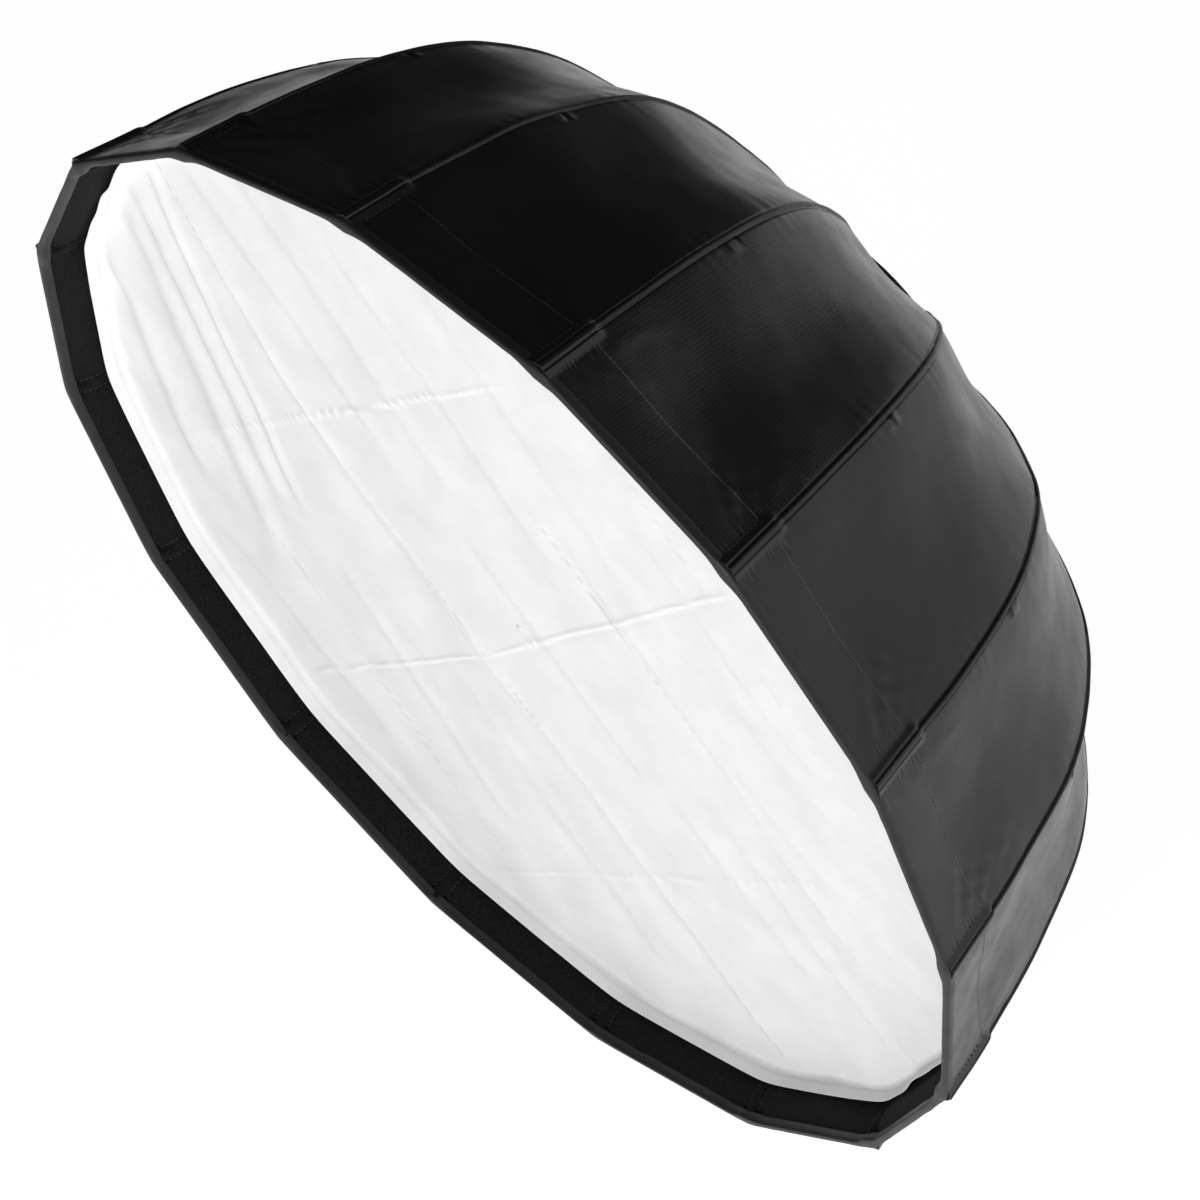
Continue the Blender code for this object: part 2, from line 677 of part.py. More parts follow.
def front_diffuser():
    """The white disc that fits inside the lip's band."""
    near = lip_corner(LIP_INSET + LIP_THICKNESS, 0.0)
    far = lip_corner(LIP_INSET + LIP_THICKNESS, LIP_DEPTH)
    wall = near.lerp(far, (FRONT_Y + DIFFUSER_RECESS - near.y) / (far.y - near.y))
    return cloth_disc("front_diffuser", DIFFUSER_RECESS, wall.x - 2 * CLEARANCE, DIFFUSER_THICKNESS)


def inner_baffle():
    """The second white disc, which hangs inside the rods."""
    level = FRONT_Y + BAFFLE_RECESS
    passing = next(pair for pair in zip(ROD_POINTS, ROD_POINTS[1:]) if pair[1].y <= level)
    rod = passing[0].lerp(passing[1], (level - passing[0].y) / (passing[1].y - passing[0].y))
    return cloth_disc("inner_baffle", BAFFLE_RECESS, rod.x - BAFFLE_GAP, DIFFUSER_THICKNESS)


# ---------------------------------------------------------------- build

bayonet_insert()
speedring_housing()
rear_cover_ring()
hinge_wire()
runner()
for side_name, side_azimuth in BUTTON_AZIMUTHS.items():
    release_button(side_name, side_azimuth)
rotation_lock_knob()
rods_and_shell()
rear_cuff()
front_lip()
front_diffuser()
inner_baffle()
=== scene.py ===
# %% [markdown]
# # Dressing a round studio softbox
# The hard frame of this softbox, its ring, brackets and sixteen sprung rods, comes from the
# CAD model. A softbox is mostly cloth, though: a black shell sewn from sixteen gores, a
# bound rim, a fuzzy band inside it, and a white diffuser held in by its elastic hem.
# Each of these is modelled here as cloth, and rides on the rod or ring that carries it.

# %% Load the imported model
import json
from math import cos, pi, radians, sin, tan

import bpy
import numpy as np
from mathutils import Matrix, Vector


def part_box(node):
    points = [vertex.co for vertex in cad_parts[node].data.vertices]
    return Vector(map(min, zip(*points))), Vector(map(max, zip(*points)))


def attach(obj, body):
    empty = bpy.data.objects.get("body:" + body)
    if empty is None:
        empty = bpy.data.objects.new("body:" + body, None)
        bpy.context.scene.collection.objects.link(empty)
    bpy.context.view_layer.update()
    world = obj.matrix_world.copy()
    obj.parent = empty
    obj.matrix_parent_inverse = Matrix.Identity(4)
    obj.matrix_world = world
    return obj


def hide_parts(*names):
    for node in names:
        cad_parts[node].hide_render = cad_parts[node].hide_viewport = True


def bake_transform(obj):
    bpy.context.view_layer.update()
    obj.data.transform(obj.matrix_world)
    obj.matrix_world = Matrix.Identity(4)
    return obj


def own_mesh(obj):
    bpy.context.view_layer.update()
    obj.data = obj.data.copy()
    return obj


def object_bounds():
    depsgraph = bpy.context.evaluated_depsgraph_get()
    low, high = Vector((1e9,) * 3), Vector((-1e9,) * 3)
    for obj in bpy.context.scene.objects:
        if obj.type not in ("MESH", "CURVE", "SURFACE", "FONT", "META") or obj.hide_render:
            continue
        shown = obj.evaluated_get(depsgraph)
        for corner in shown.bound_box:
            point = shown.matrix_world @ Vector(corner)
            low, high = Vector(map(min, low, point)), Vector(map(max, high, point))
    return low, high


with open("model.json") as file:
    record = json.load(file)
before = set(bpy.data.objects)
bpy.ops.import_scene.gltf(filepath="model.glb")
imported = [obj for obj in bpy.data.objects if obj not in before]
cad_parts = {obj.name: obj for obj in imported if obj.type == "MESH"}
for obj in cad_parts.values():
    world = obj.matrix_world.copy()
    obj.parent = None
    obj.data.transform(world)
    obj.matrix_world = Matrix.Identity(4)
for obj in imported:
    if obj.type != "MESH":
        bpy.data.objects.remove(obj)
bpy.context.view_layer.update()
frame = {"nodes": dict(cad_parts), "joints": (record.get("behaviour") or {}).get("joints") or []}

# %% [markdown]
# ## Sizes that the cloth is cut to
# Sixteen rods stand round the light's axis, which is the Y axis, and the open front faces
# -Y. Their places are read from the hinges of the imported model, so the cloth always fits
# the frame. The few sizes that only cloth has, such as the width of a seam, are named here.

# %% Sizes
ROD_COUNT = 16
HALF_STEP = pi / ROD_COUNT
HINGES = [joint for joint in frame["joints"] if joint["name"].startswith("rod_")]
HINGES.sort(key=lambda joint: joint["name"])

SHELL_CLOTH = 0.0006
SEAM_HALF_WIDTH = 0.0021    # the raised binding that covers each seam
SEAM_RISE = 0.0017
CORNER_ROUNDING = 0.0030    # how softly the cloth turns over a rod
HEM_SETBACK = 0.048         # from the rim to the stitched line of the front hem
WAIST_SETBACK = 0.262       # from the rim to the line where the rear cut begins
PANEL_SAG = 0.0045          # how far the middle of a stretched panel is drawn in
TIE_SETBACK = 0.190         # where the inner baffle is tied to the seams
print("hinges:", len(HINGES))

# %% [markdown]
# ## The shell's profile
# A gore is straight from seam to seam and curved along its length, so one curve from the
# front rim to the rear edge says all about the shell. That curve is read off the edge of a
# CAD panel and drawn through its twelve points as a natural cubic spline, which keeps the
# bend even. A chain of straight pieces would show as facets in the satin cloth.

# %% A smooth curve through known points
def cubic(knots, values):
    """A natural cubic spline: returns a function of the distance along the curve."""
    count, gap = len(knots), np.diff(knots)
    system, right = np.eye(count), np.zeros_like(values)
    for i in range(1, count - 1):
        system[i, i - 1:i + 2] = gap[i - 1], 2 * (gap[i - 1] + gap[i]), gap[i]
        slopes = (values[i + 1] - values[i]) / gap[i] - (values[i] - values[i - 1]) / gap[i - 1]
        right[i] = 6 * slopes
    bend = np.linalg.solve(system, right)

    def at(distance):
        i = np.clip(np.searchsorted(knots, distance) - 1, 0, count - 2)
        d, w = (distance - knots[i])[..., None], gap[i][..., None]
        line = values[i] + d * ((values[i + 1] - values[i]) / w - w * (2 * bend[i] + bend[i + 1]) / 6)
        return line + d * d * bend[i] / 2 + d ** 3 * (bend[i + 1] - bend[i]) / (6 * w)

    return at


def ways(index):
    """The outward and sideways directions at rod index, which count from 0."""
    outward = np.array(HINGES[index]["pos_m"]) * (1, 0, 1)
    return outward / np.linalg.norm(outward), np.array(HINGES[index]["axis"])


def shell_profile():
    """Points (radius, y) on the outside of the shell at a rod, from the rim to the rear edge."""
    outward, sideways = ways(0)
    mesh = frame["nodes"]["shell_panel_01"].data
    points = np.array([vertex.co for vertex in mesh.vertices])
    beside = points[np.abs(points @ sideways) < 0.0012]
    pairs = np.unique(np.round(np.stack([beside @ outward, beside[:, 1]], 1), 6), axis=0)
    front = np.array([0.0, pairs[:, 1].min()])
    reach = pairs - front
    pairs = pairs[np.argsort(np.arctan2(reach[:, 1], reach[:, 0]))]
    outer = []
    for inner_and_outer in np.array_split(pairs, len(pairs) // 2):
        outer.append(max(inner_and_outer, key=lambda p: np.hypot(*(p - front))))
    return np.array(outer)


PROFILE = shell_profile()
RIM_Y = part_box("front_lip")[0].y
STEPS = np.diff(PROFILE, axis=0)
RIM_GAP = (PROFILE[0, 1] - RIM_Y) * np.hypot(*STEPS[0]) / STEPS[0, 1]
KNOTS = RIM_GAP + np.concatenate([[0.0], np.cumsum(np.hypot(*STEPS.T))])
profile = cubic(KNOTS, PROFILE)
SHELL_LENGTH = float(KNOTS[-1])
print(f"{len(PROFILE)} points, rim radius {profile(np.array(0.0))[0]:.4f} m, length {SHELL_LENGTH:.4f} m")

# %% [markdown]
# ## Building cloth from a formula
# Every cloth here is a surface with two directions: along the rod, and across it. Cloth
# could be drawn as a flat plane and draped, but the shell is pulled drum-tight by its rods,
# so it is placed by formula, and its puckers and creases are added to that formula. The
# same formula gives the exact direction that the surface faces, which is stored as the
# shading normal, so two neighbouring pieces meet without a visible line.

# %% Ramps, ridges and creases
NUDGE = 2e-4                # steps along a formula, from which its directions are taken
SLOPE_STEP = 1e-4


def slope_of(path, distance):
    return path(distance + SLOPE_STEP) - path(distance - SLOPE_STEP)


def ramp(low, high, value):
    """0 below low, 1 above high, and a smooth step between."""
    t = np.clip((value - low) / (high - low), 0, 1)
    return t * t * (3 - 2 * t)


def ridge(distance, width):
    """A soft ridge of height 1 along the line where distance is 0."""
    return np.exp(-(distance / width) ** 2)


def ripples(seed, shortest, longest, count=18, stretch=(1, 1, 1)):
    """Soft unevenness of height about 1 as a function of a place: a sum of gentle waves."""
    rng = np.random.default_rng(seed)
    lengths = rng.uniform(shortest, longest, count)
    heading = rng.normal(size=(count, 3)) * stretch
    heading *= (2 * pi / lengths / np.linalg.norm(heading, axis=1))[:, None]
    phase = rng.uniform(0, 2 * pi, count)
    return lambda place: np.sin(place @ heading.T + phase).sum(-1) / np.sqrt(count)


# %% A thin closed sheet from a formula
def new_piece(name, points, faces, smooth, finishes):
    """An object from points and faces, where smooth says which faces are shaded smooth."""
    mesh = bpy.data.meshes.new(name)
    mesh.from_pydata(points.tolist(), [], faces)
    mesh.polygons.foreach_set("use_smooth", smooth)
    for finish in finishes:
        mesh.materials.append(finish)
    piece = bpy.data.objects.new(name, mesh)
    bpy.context.scene.collection.objects.link(piece)
    return piece


def cloth_sheet(name, place, rows, columns, thickness, finishes, strip=None, turned=False):
    """A sheet over rows x columns, where place(row, column) gives points. Its face looks away
    from the light's axis for a shell and to the front for a disc, unless it is turned.
    finishes are the face's and the back's. strip(row, column) marks where the third shows."""
    row, column = np.meshgrid(rows, columns, indexing="ij")
    down = place(row + NUDGE, column) - place(row - NUDGE, column)
    side = place(row, column + NUDGE) - place(row, column - NUDGE)
    facing = np.cross(side, down) * (-1 if turned else 1)
    facing /= np.linalg.norm(facing, axis=-1, keepdims=True)
    outside = place(row, column)
    points = np.concatenate([outside.reshape(-1, 3), (outside - facing * thickness).reshape(-1, 3)])
    n, m = row.shape
    index = np.arange(n * m).reshape(n, m)
    corners = index[:-1, :-1], index[:-1, 1:], index[1:, 1:], index[1:, :-1]
    quads = np.stack(corners, -1).reshape(-1, 4)
    edge = np.concatenate([index[0, :], index[1:, -1], index[-1, -2::-1], index[-2:0:-1, 0]])
    after = np.roll(edge, -1)
    rim = np.stack([after, edge, edge + n * m, after + n * m], -1)
    if turned:
        quads, rim = quads[:, ::-1], rim[:, ::-1]
    faces = np.concatenate([quads, quads[:, ::-1] + n * m, rim])
    piece = new_piece(name, points, faces.tolist(), np.arange(len(faces)) < 2 * len(quads), finishes)
    mesh = piece.data
    kind = np.repeat([0, 1, 0], [len(quads), len(quads), len(rim)])
    if strip is not None:
        middle = [grid.reshape(-1)[quads].mean(1) for grid in (row, column)]
        kind[:len(quads)][strip(*middle)] = 2
    mesh.polygons.foreach_set("material_index", kind)
    cut = mesh.attributes.new("cloth_place", "FLOAT_VECTOR", "POINT")
    gaps = np.diff(outside, axis=1, prepend=outside[:, :1])
    width = np.cumsum(np.linalg.norm(gaps, axis=-1), axis=1)
    flat = np.stack([width - width[:, m // 2, None], row, np.zeros_like(row)], -1).reshape(-1, 3)
    cut.data.foreach_set("vector", np.concatenate([flat, flat]).astype(np.float32).ravel())
    normals = facing.reshape(-1, 3)
    corner_normals = np.concatenate([
        normals[quads.ravel()], -normals[quads[:, ::-1].ravel()], np.zeros((rim.size, 3))])
    mesh.normals_split_custom_set(corner_normals.tolist())
    return piece


def flat_area(place, rows, columns):
    """Area of the cloth before it is creased, in square metres."""
    row, column = np.meshgrid(rows, columns, indexing="ij")
    p = place(row, column)
    first = np.cross(p[1:, 1:] - p[:-1, :-1], p[1:, :-1] - p[:-1, 1:])
    return float(np.linalg.norm(first, axis=-1).sum() / 2)

# %% [markdown]
# ## The cloth between two rods
# Seen along the axis the shell is a sixteen-sided figure with a rod at each corner. The
# cloth is cut here into pieces that reach from the middle of one side, round the corner, to
# the middle of the next. Each piece then rides on its own rod when the softbox is folded.

# %% One corner of the sixteen-sided figure
def half_side(radius, rounding):
    """Distance from a corner to the middle of a side, where two neighbouring pieces meet."""
    half = radius * tan(HALF_STEP)
    for _ in range(4):
        half = tan(HALF_STEP) * (radius - tan(HALF_STEP) * np.sqrt(half ** 2 + rounding ** 2))
    return half


def widest_cut(radii, rounding):
    """Flat width of a piece where it is widest."""
    return 2.001 * float(half_side(radii, rounding).max()) / cos(HALF_STEP)


def corner(index, spot, slope, share, lift, rounding=CORNER_ROUNDING):
    """Points of a piece at rod index. spot and slope are (radius, y) at the rod, share runs from -1
    to 1 between the two middles, and lift(t, half, base) is how far the cloth stands off there."""
    outward, sideways = ways(index)
    half = half_side(spot[..., 0], rounding)
    t = share * half
    turn = t / np.sqrt(t * t + rounding ** 2)
    out = spot[..., 0] - tan(HALF_STEP) * np.sqrt(t * t + rounding ** 2)
    base = out[..., None] * outward + t[..., None] * sideways + spot[..., 1, None] * (0, 1, 0)
    steep = slope / np.linalg.norm(slope, axis=-1, keepdims=True)
    out_part = steep[..., 1] * np.cos(HALF_STEP * turn)
    side_part = steep[..., 1] * np.sin(HALF_STEP * turn)
    facing = out_part[..., None] * outward + side_part[..., None] * sideways
    facing = facing - steep[..., 0, None] * (0, 1, 0)
    return base + facing * lift(t, half, base)[..., None]


def on_shell(index, lift):
    """Places cloth at a distance lift(s, t, half, base) off the shell's profile at rod index."""
    def place(s, share):
        s, share = np.broadcast_arrays(s, share)
        off = lambda t, half, base: lift(s, t, half, base)
        return corner(index, profile(s), slope_of(profile, s), share, off)

    return place


# %% [markdown]
# ## Puckers, pockets and creases of the shell
# The stitching draws the cloth in, so that it puckers beside each seam. At the front of
# each seam a short pocket holds the tip of the rod, and the pull of that tip throws long
# slanting creases into the panels. Close to the middle of a panel nothing is sewn, and the
# cloth only sags inwards a little and ripples softly.

# %% Height of the cloth beside a rod
POCKET_END = 0.056
POCKET_RISE = 0.0022        # how far the rod's tip lifts its pocket
POCKET_CLOTH = 0.0005       # the second layer of cloth that makes the pocket
GATHER_LINE = 0.0122        # from the rod to the middle of the gathers beside its pocket
GATHER_RISE = 0.00030
GROOVE_DEPTH = 0.0007       # how deep the stitches press in beside the binding
PUCKER_RISE = 0.00022
TIE_RISE = 0.0011
TIE_PLACE = 0.0072          # the baffle's tie lies on one side of the seam
HEM_DENT = 0.0005
PLEAT_RISE = 0.0006
UNEVEN, UNEVEN_RISE = ripples(11, 0.07, 0.20), 0.0010
FAINT, FAINT_RISE = ripples(12, 0.022, 0.05), 0.00012


def fold_line(s, t, start, heading, length, width):
    """A crease that fades out at both ends, with a shallow valley beside it."""
    along = (s - start[0]) * cos(heading) + (t - start[1]) * sin(heading)
    beside = (t - start[1]) * cos(heading) - (s - start[0]) * sin(heading)
    fading = ramp(0, 0.25 * length, along) * ramp(length, 0.35 * length, along)
    return (ridge(beside, width) - 0.6 * ridge(beside - 1.9 * width, width)) * fading


def slanting_creases(index):
    """Start, heading, length, width and height of the creases that leave a rod's pocket."""
    rng = np.random.default_rng(100 + index)
    creases = []
    for side in (-1, 1):
        for step in range(4):
            start = 0.014 + 0.014 * step + rng.uniform(-0.003, 0.003), side * rng.uniform(0.012, 0.018)
            heading = side * radians(58 - 13 * step + rng.uniform(-4, 4))
            length, width = rng.uniform(0.045, 0.095), rng.uniform(0.0035, 0.0060)
            creases.append((start, heading, length, width, rng.uniform(0.00025, 0.00060)))
    return creases


def shell_lift(index):
    """How far the shell's cloth stands off its profile near one rod."""
    creases = slanting_creases(index)
    rng = np.random.default_rng(200 + index)
    phase = rng.uniform(0, 2 * pi, 3)
    lump = TIE_SETBACK + rng.uniform(-0.006, 0.006)

    def lift(s, t, half, base):
        away = np.abs(t)
        behind = ramp(POCKET_END - 0.003, POCKET_END + 0.003, s)
        binding = SEAM_RISE * np.sqrt(np.clip(1 - (t / SEAM_HALF_WIDTH) ** 2, 0, 1))
        groove = GROOVE_DEPTH * ridge(away - SEAM_HALF_WIDTH - 0.0008, 0.0008)
        drawn_in = np.sin(2 * pi * s / 0.013 + phase[0] + 4 * np.sin(s / 0.023)) * np.exp(-away / 0.011)
        drawn_in = drawn_in * ramp(-0.2, 0.9, np.sin(2 * pi * s / 0.091 + phase[1]))
        puckers = PUCKER_RISE * drawn_in * behind * ramp(0, 0.003, away)
        seam = binding * (0.45 + 0.55 * behind) - groove + puckers
        pocket = POCKET_RISE * np.exp(-(t / 0.0072) ** 4) + POCKET_CLOTH * (1 - ramp(0.0088, 0.0102, away))
        gathers = np.sin(2 * pi * s / 0.0047 + phase[1] + 2.6 * np.sin(s / 0.0052 + phase[0]))
        gathers = gathers * ramp(-0.7, 0.9, np.sin(2 * pi * s / 0.019 + phase[2] + t / 0.006))
        gathers = gathers * ridge(away - GATHER_LINE - 0.0016 * np.sin(s / 0.0034 + phase[2]), 0.0040)
        front = (pocket + GATHER_RISE * gathers * ramp(0.006, 0.010, s)) * (1 - behind)
        tie = np.exp(-((s - lump) / 0.0075) ** 4 - ((t - TIE_PLACE) / 0.0042) ** 4)
        tie *= TIE_RISE + 0.0006 * np.sin(2 * pi * s / 0.0042 + phase[2])
        hem = -HEM_DENT * ridge(s - HEM_SETBACK, 0.0011) * ramp(0.008, 0.012, away)
        inside = 1 - ramp(0.62, 0.92, away / half)
        slant = sum(height * fold_line(s, t, *shape) for *shape, height in creases) * inside
        stretched = ramp(0.0, 0.06, s) * ramp(SHELL_LENGTH, SHELL_LENGTH - 0.10, s)
        sag = PANEL_SAG * (1 - np.cos(pi * away / half)) / 2
        rear = ramp(SHELL_LENGTH - 0.055, SHELL_LENGTH, s) * PLEAT_RISE * np.cos(5 * pi * away / half)
        soft = UNEVEN_RISE * UNEVEN(base) + FAINT_RISE * FAINT(base)
        return seam + front + tie + hem + slant + rear + (soft - sag) * stretched

    return lift


def bare(*place):
    """Cloth that lies right on its profile."""
    return 0 * place[0]


# %% [markdown]
# ## Finishes for the cloth
# The shell is a tight black nylon with a coarser check woven in, so it has a soft satin
# gloss rather than a shine, and the check shows as faint lines. An image could give that
# pattern, but waves and noise run through a bump node stay sharp at any size. Each cloth
# carries its own flat measures in the cloth_place attribute, so the weave follows the cut.

# %% Helpers for finishes
def new_finish(name, colour, roughness, **sockets):
    """A material whose shader's inputs are set by their names."""
    finish = bpy.data.materials.new(name)
    finish.use_nodes = True
    shader = finish.node_tree.nodes["Principled BSDF"]
    shader.inputs["Base Color"].default_value = (*colour, 1)
    shader.inputs["Roughness"].default_value = roughness
    for socket, value in sockets.items():
        shader.inputs[socket.replace("_", " ")].default_value = value
    return finish


def add_node(finish, kind, **settings):
    """A node in this finish. Settings with a capital first letter are its input sockets."""
    made = finish.node_tree.nodes.new("ShaderNode" + kind)
    for name, value in settings.items():
        if name[0].isupper():
            made.inputs[name.replace("_", " ")].default_value = value
        else:
            setattr(made, name, value)
    return made


def join(finish, *chain):
    """Links (node, output) to (node, input) in turn."""
    for (source, output), (target, entry) in zip(chain[::2], chain[1::2]):
        finish.node_tree.links.new(source.outputs[output], target.inputs[entry])


def noise(finish, scale, detail=3.0, **settings):
    """Noise measured in metres, so that it runs on from one piece of cloth to the next."""
    place = add_node(finish, "TexCoord")
    made = add_node(finish, "TexNoise", Scale=scale, Detail=detail, **settings)
    join(finish, (place, "Object"), (made, "Vector"))
    return made


def feed_shader(finish, entry, *chain):
    """Links nodes as join does, and the last output to one of the shader's inputs."""
    join(finish, *chain, (finish.node_tree.nodes["Principled BSDF"], entry))


def bump(finish, source, output, strength, distance):
    """Feeds a pattern to the shader as relief."""
    relief = add_node(finish, "Bump", Strength=strength, Distance=distance)
    feed_shader(finish, "Normal", (source, output), (relief, "Height"), (relief, "Normal"))


def blend_colour(finish, source, output, dark, light, low=0.3, high=0.7):
    """Colours the shader between two colours by a pattern."""
    tint = add_node(finish, "ValToRGB")
    for stop, place, colour in zip(tint.color_ramp.elements, (low, high), (dark, light)):
        stop.position, stop.color = place, (*colour, 1)
    feed_shader(finish, "Base Color", (source, output), (tint, "Fac"), (tint, "Color"))


def varied_roughness(finish, source, output, **limits):
    """Lets a pattern make the shader duller in some places than in others."""
    worn = add_node(finish, "MapRange", **limits)
    feed_shader(finish, "Roughness", (source, output), (worn, "Value"), (worn, "Result"))


def merge(finish, *sources, operation="ADD"):
    """Adds up the outputs of several nodes, or merges them by another operation."""
    total = sources[0]
    for source in sources[1:]:
        both = add_node(finish, "Math", operation=operation)
        join(finish, total, (both, 0), source, (both, 1))
        total = (both, "Value")
    return total


# %% Woven cloth
CHECK = 0.0029              # distance between the stronger threads of the shell's check


def check_lines(finish, across, pitch):
    """Thin raised lines every pitch metres, along or across the cut of the cloth."""
    place = add_node(finish, "Attribute", attribute_name="cloth_place")
    split = add_node(finish, "SeparateXYZ")
    wave = add_node(finish, "Math", operation="MULTIPLY")
    wave.inputs[1].default_value = 2 * pi / pitch
    curve = add_node(finish, "Math", operation="COSINE")
    sharp = add_node(finish, "MapRange", interpolation_type="SMOOTHSTEP", From_Min=0.55, From_Max=1.0)
    join(finish, (place, "Vector"), (split, "Vector"), (split, "X" if across else "Y"), (wave, 0),
         (wave, "Value"), (curve, 0), (curve, "Value"), (sharp, "Value"))
    return sharp, "Result"


def shell_nylon(name, dark, light, roughness):
    """Satin nylon with a raised check and a fine grain."""
    finish = new_finish(name, dark, roughness, Specular_IOR_Level=0.3, Sheen_Weight=0.02)
    both_ways = [check_lines(finish, across, CHECK) for across in (False, True)]
    lines = merge(finish, *both_ways, operation="MAXIMUM")
    grain = noise(finish, 3000.0, Roughness=0.7)
    cloud = noise(finish, 40.0, 4.0)
    height = add_node(finish, "Math", operation="MULTIPLY_ADD")
    height.inputs[1].default_value = 0.5
    join(finish, (grain, "Fac"), (height, 0), lines, (height, 2))
    bump(finish, height, "Value", 0.35, 0.00012)
    blend_colour(finish, *lines, dark, light, 0.0, 1.0)
    varied_roughness(finish, cloud, "Fac", From_Min=0.3, From_Max=0.7,
                     To_Min=roughness - 0.05, To_Max=roughness + 0.06)
    return finish


def fuzzy_pile(name, dark, light):
    """The loop pile that hook tape grips."""
    finish = new_finish(name, dark, 0.95, Sheen_Weight=0.01, Sheen_Roughness=0.6,
                        Specular_IOR_Level=0.1)
    tufts = noise(finish, 2400.0, 4.0, Roughness=0.75)
    clumps = noise(finish, 600.0)
    total = merge(finish, (tufts, "Fac"), (clumps, "Fac"))
    half = add_node(finish, "Math", operation="MULTIPLY")
    half.inputs[1].default_value = 0.5
    join(finish, total, (half, 0))
    bump(finish, half, "Value", 0.9, 0.0007)
    blend_colour(finish, half, "Value", dark, light, 0.40, 0.66)
    return finish


def silver_lining():
    """The metal-coated inside of the shell."""
    finish = new_finish("silver lining", (0.62, 0.63, 0.65), 0.38, Metallic=0.85)
    grain = noise(finish, 2000.0, 4.0)
    crinkle = noise(finish, 260.0, 5.0, Roughness=0.65)
    bump(finish, *merge(finish, (grain, "Fac"), (crinkle, "Fac")), 0.5, 0.0004)
    blend_colour(finish, crinkle, "Fac", (0.52, 0.53, 0.55), (0.72, 0.73, 0.75))
    return finish


def white_nylon(name, dark, light):
    """Thin white cloth of uneven thickness."""
    finish = new_finish(name, light, 0.75, Specular_IOR_Level=0.3)
    cloud = noise(finish, 22.0, 6.0, Roughness=0.6)
    weave = noise(finish, 2600.0, 2.0)
    bump(finish, weave, "Fac", 0.25, 0.00015)
    blend_colour(finish, cloud, "Fac", dark, light, 0.35, 0.65)
    return finish


SHELL_NYLON = shell_nylon("black shell nylon", (0.0078, 0.0078, 0.0082), (0.0125, 0.0125, 0.0132), 0.34)
BINDING_TAPE = shell_nylon("black binding tape", (0.007, 0.007, 0.0075), (0.016, 0.016, 0.017), 0.50)
SILVER_LINING = silver_lining()
LOOP_PILE = fuzzy_pile("black loop pile", (0.0028, 0.0028, 0.0030), (0.0150, 0.0150, 0.0156))
DIFFUSER_NYLON = white_nylon("white diffuser nylon", (0.80, 0.80, 0.81), (0.86, 0.86, 0.87))
HEM_NYLON = white_nylon("white elastic hem", (0.86, 0.86, 0.87), (0.92, 0.92, 0.92))
THREAD = new_finish("black thread", (0.03, 0.03, 0.032), 0.45)
print("finishes:", [finish.name for finish in bpy.data.materials])

# %% [markdown]
# ## Sewing the shell
# Each rod carries three lengths of the shell. They meet at the stitched hem line and at the
# waist, where a folded softbox is bulkiest. When the rods close, the cloth between them
# crumples: the narrow front lengths are pressed almost flat and the rear ones hardly at
# all, so the table lists for each length the share of its width that it keeps, though the
# pieces here are not narrowed.

# %% The shell's pieces
def both_sides(*shares):
    """Shares of a half side, denser where the cloth bends, repeated on the other side of the rod."""
    return np.array([-share for share in shares[::-1]] + [0, *shares])


SHARES = both_sides(.008, .016, .024, .033, .042, .055, .075, .10, .13, .165, .21, .28, .37, .48, .60,
                    .73, .87, 1)
LENGTHS = {     # each length's start, end, distance between rows, and share that it keeps when folded
    "front": (0.0010, HEM_SETBACK, 0.0008, 0.16),
    "middle": (HEM_SETBACK, WAIST_SETBACK, 0.0032, 0.49),
    "rear": (WAIST_SETBACK, SHELL_LENGTH, 0.0050, 0.87),
}


def number(index):
    return f"{index % ROD_COUNT + 1:02d}"


def crumple(piece, index):
    """Lets a piece ride on its rod."""
    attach(piece, "rod_" + number(index))
    tuple(ways(index)[1])
    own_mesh(piece)


def rows_between(start, end, pitch):
    return np.linspace(start, end, max(2, round((end - start) / pitch) + 1))


def on_seam(s, share):
    away = np.abs(share) * half_side(profile(s)[:, 0], CORNER_ROUNDING)
    return (away < SEAM_HALF_WIDTH) & (s > POCKET_END)


def sew_shell():
    """Three lengths of cloth for each rod."""
    pieces = []
    for index in range(ROD_COUNT):
        place, plain = on_shell(index, shell_lift(index)), on_shell(index, bare)
        for length, (start, end, pitch, keep) in LENGTHS.items():
            rows = rows_between(start, end, pitch)
            piece = cloth_sheet(f"shell_{length}_{number(index)}", place, rows, SHARES, SHELL_CLOTH,
                                (SHELL_NYLON, SILVER_LINING, BINDING_TAPE), strip=on_seam)
            crumple(piece, index)
            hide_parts("shell_panel_" + number(index), "shell_panel_" + number(index - 1))
            widest = widest_cut(profile(rows)[:, 0], CORNER_ROUNDING)
            flat_area(plain, rows, SHARES)
            pieces.append(piece)
    return pieces


SHELL = sew_shell()
print(len(SHELL), "pieces of shell,", sum(len(piece.data.polygons) for piece in SHELL), "faces")

# %% [markdown]
# ## The rim's band and tape
# Inside the rim runs a band of fuzzy loop pile, where a grid or the diffuser is pressed on.
# Two lines of thread at each corner hold the pocket of the rod's tip under it. A folded
# tape binds shell and band together at the very front. Both follow their rods, like the
# front of the shell does.

# %% The band of loop pile
BAND_START = 0.0025
BAND_DEPTH = 0.045
BAND_THICKNESS = 0.0013
BAND_INSET = 0.0098         # how far inside the shell's face the band lies
TAPE_INSET = 0.0042
TIP_COVER = 0.0098
POCKET_STITCH = 0.0076      # from the corner to each line of thread


def band_inset(s, t):
    """Depth of the band's face under the shell's face."""
    flat = TAPE_INSET + (BAND_INSET - TAPE_INSET) * ramp(0.002, 0.022, s)
    cover = TIP_COVER * np.exp(-(t / 0.0066) ** 6)
    fold = 0.0009 * np.exp(-(t / 0.0068) ** 8) * ramp(0.004, 0.012, s)
    return np.maximum(flat, cover) + fold - 0.0007 * ridge(np.abs(t) - POCKET_STITCH, 0.0008)


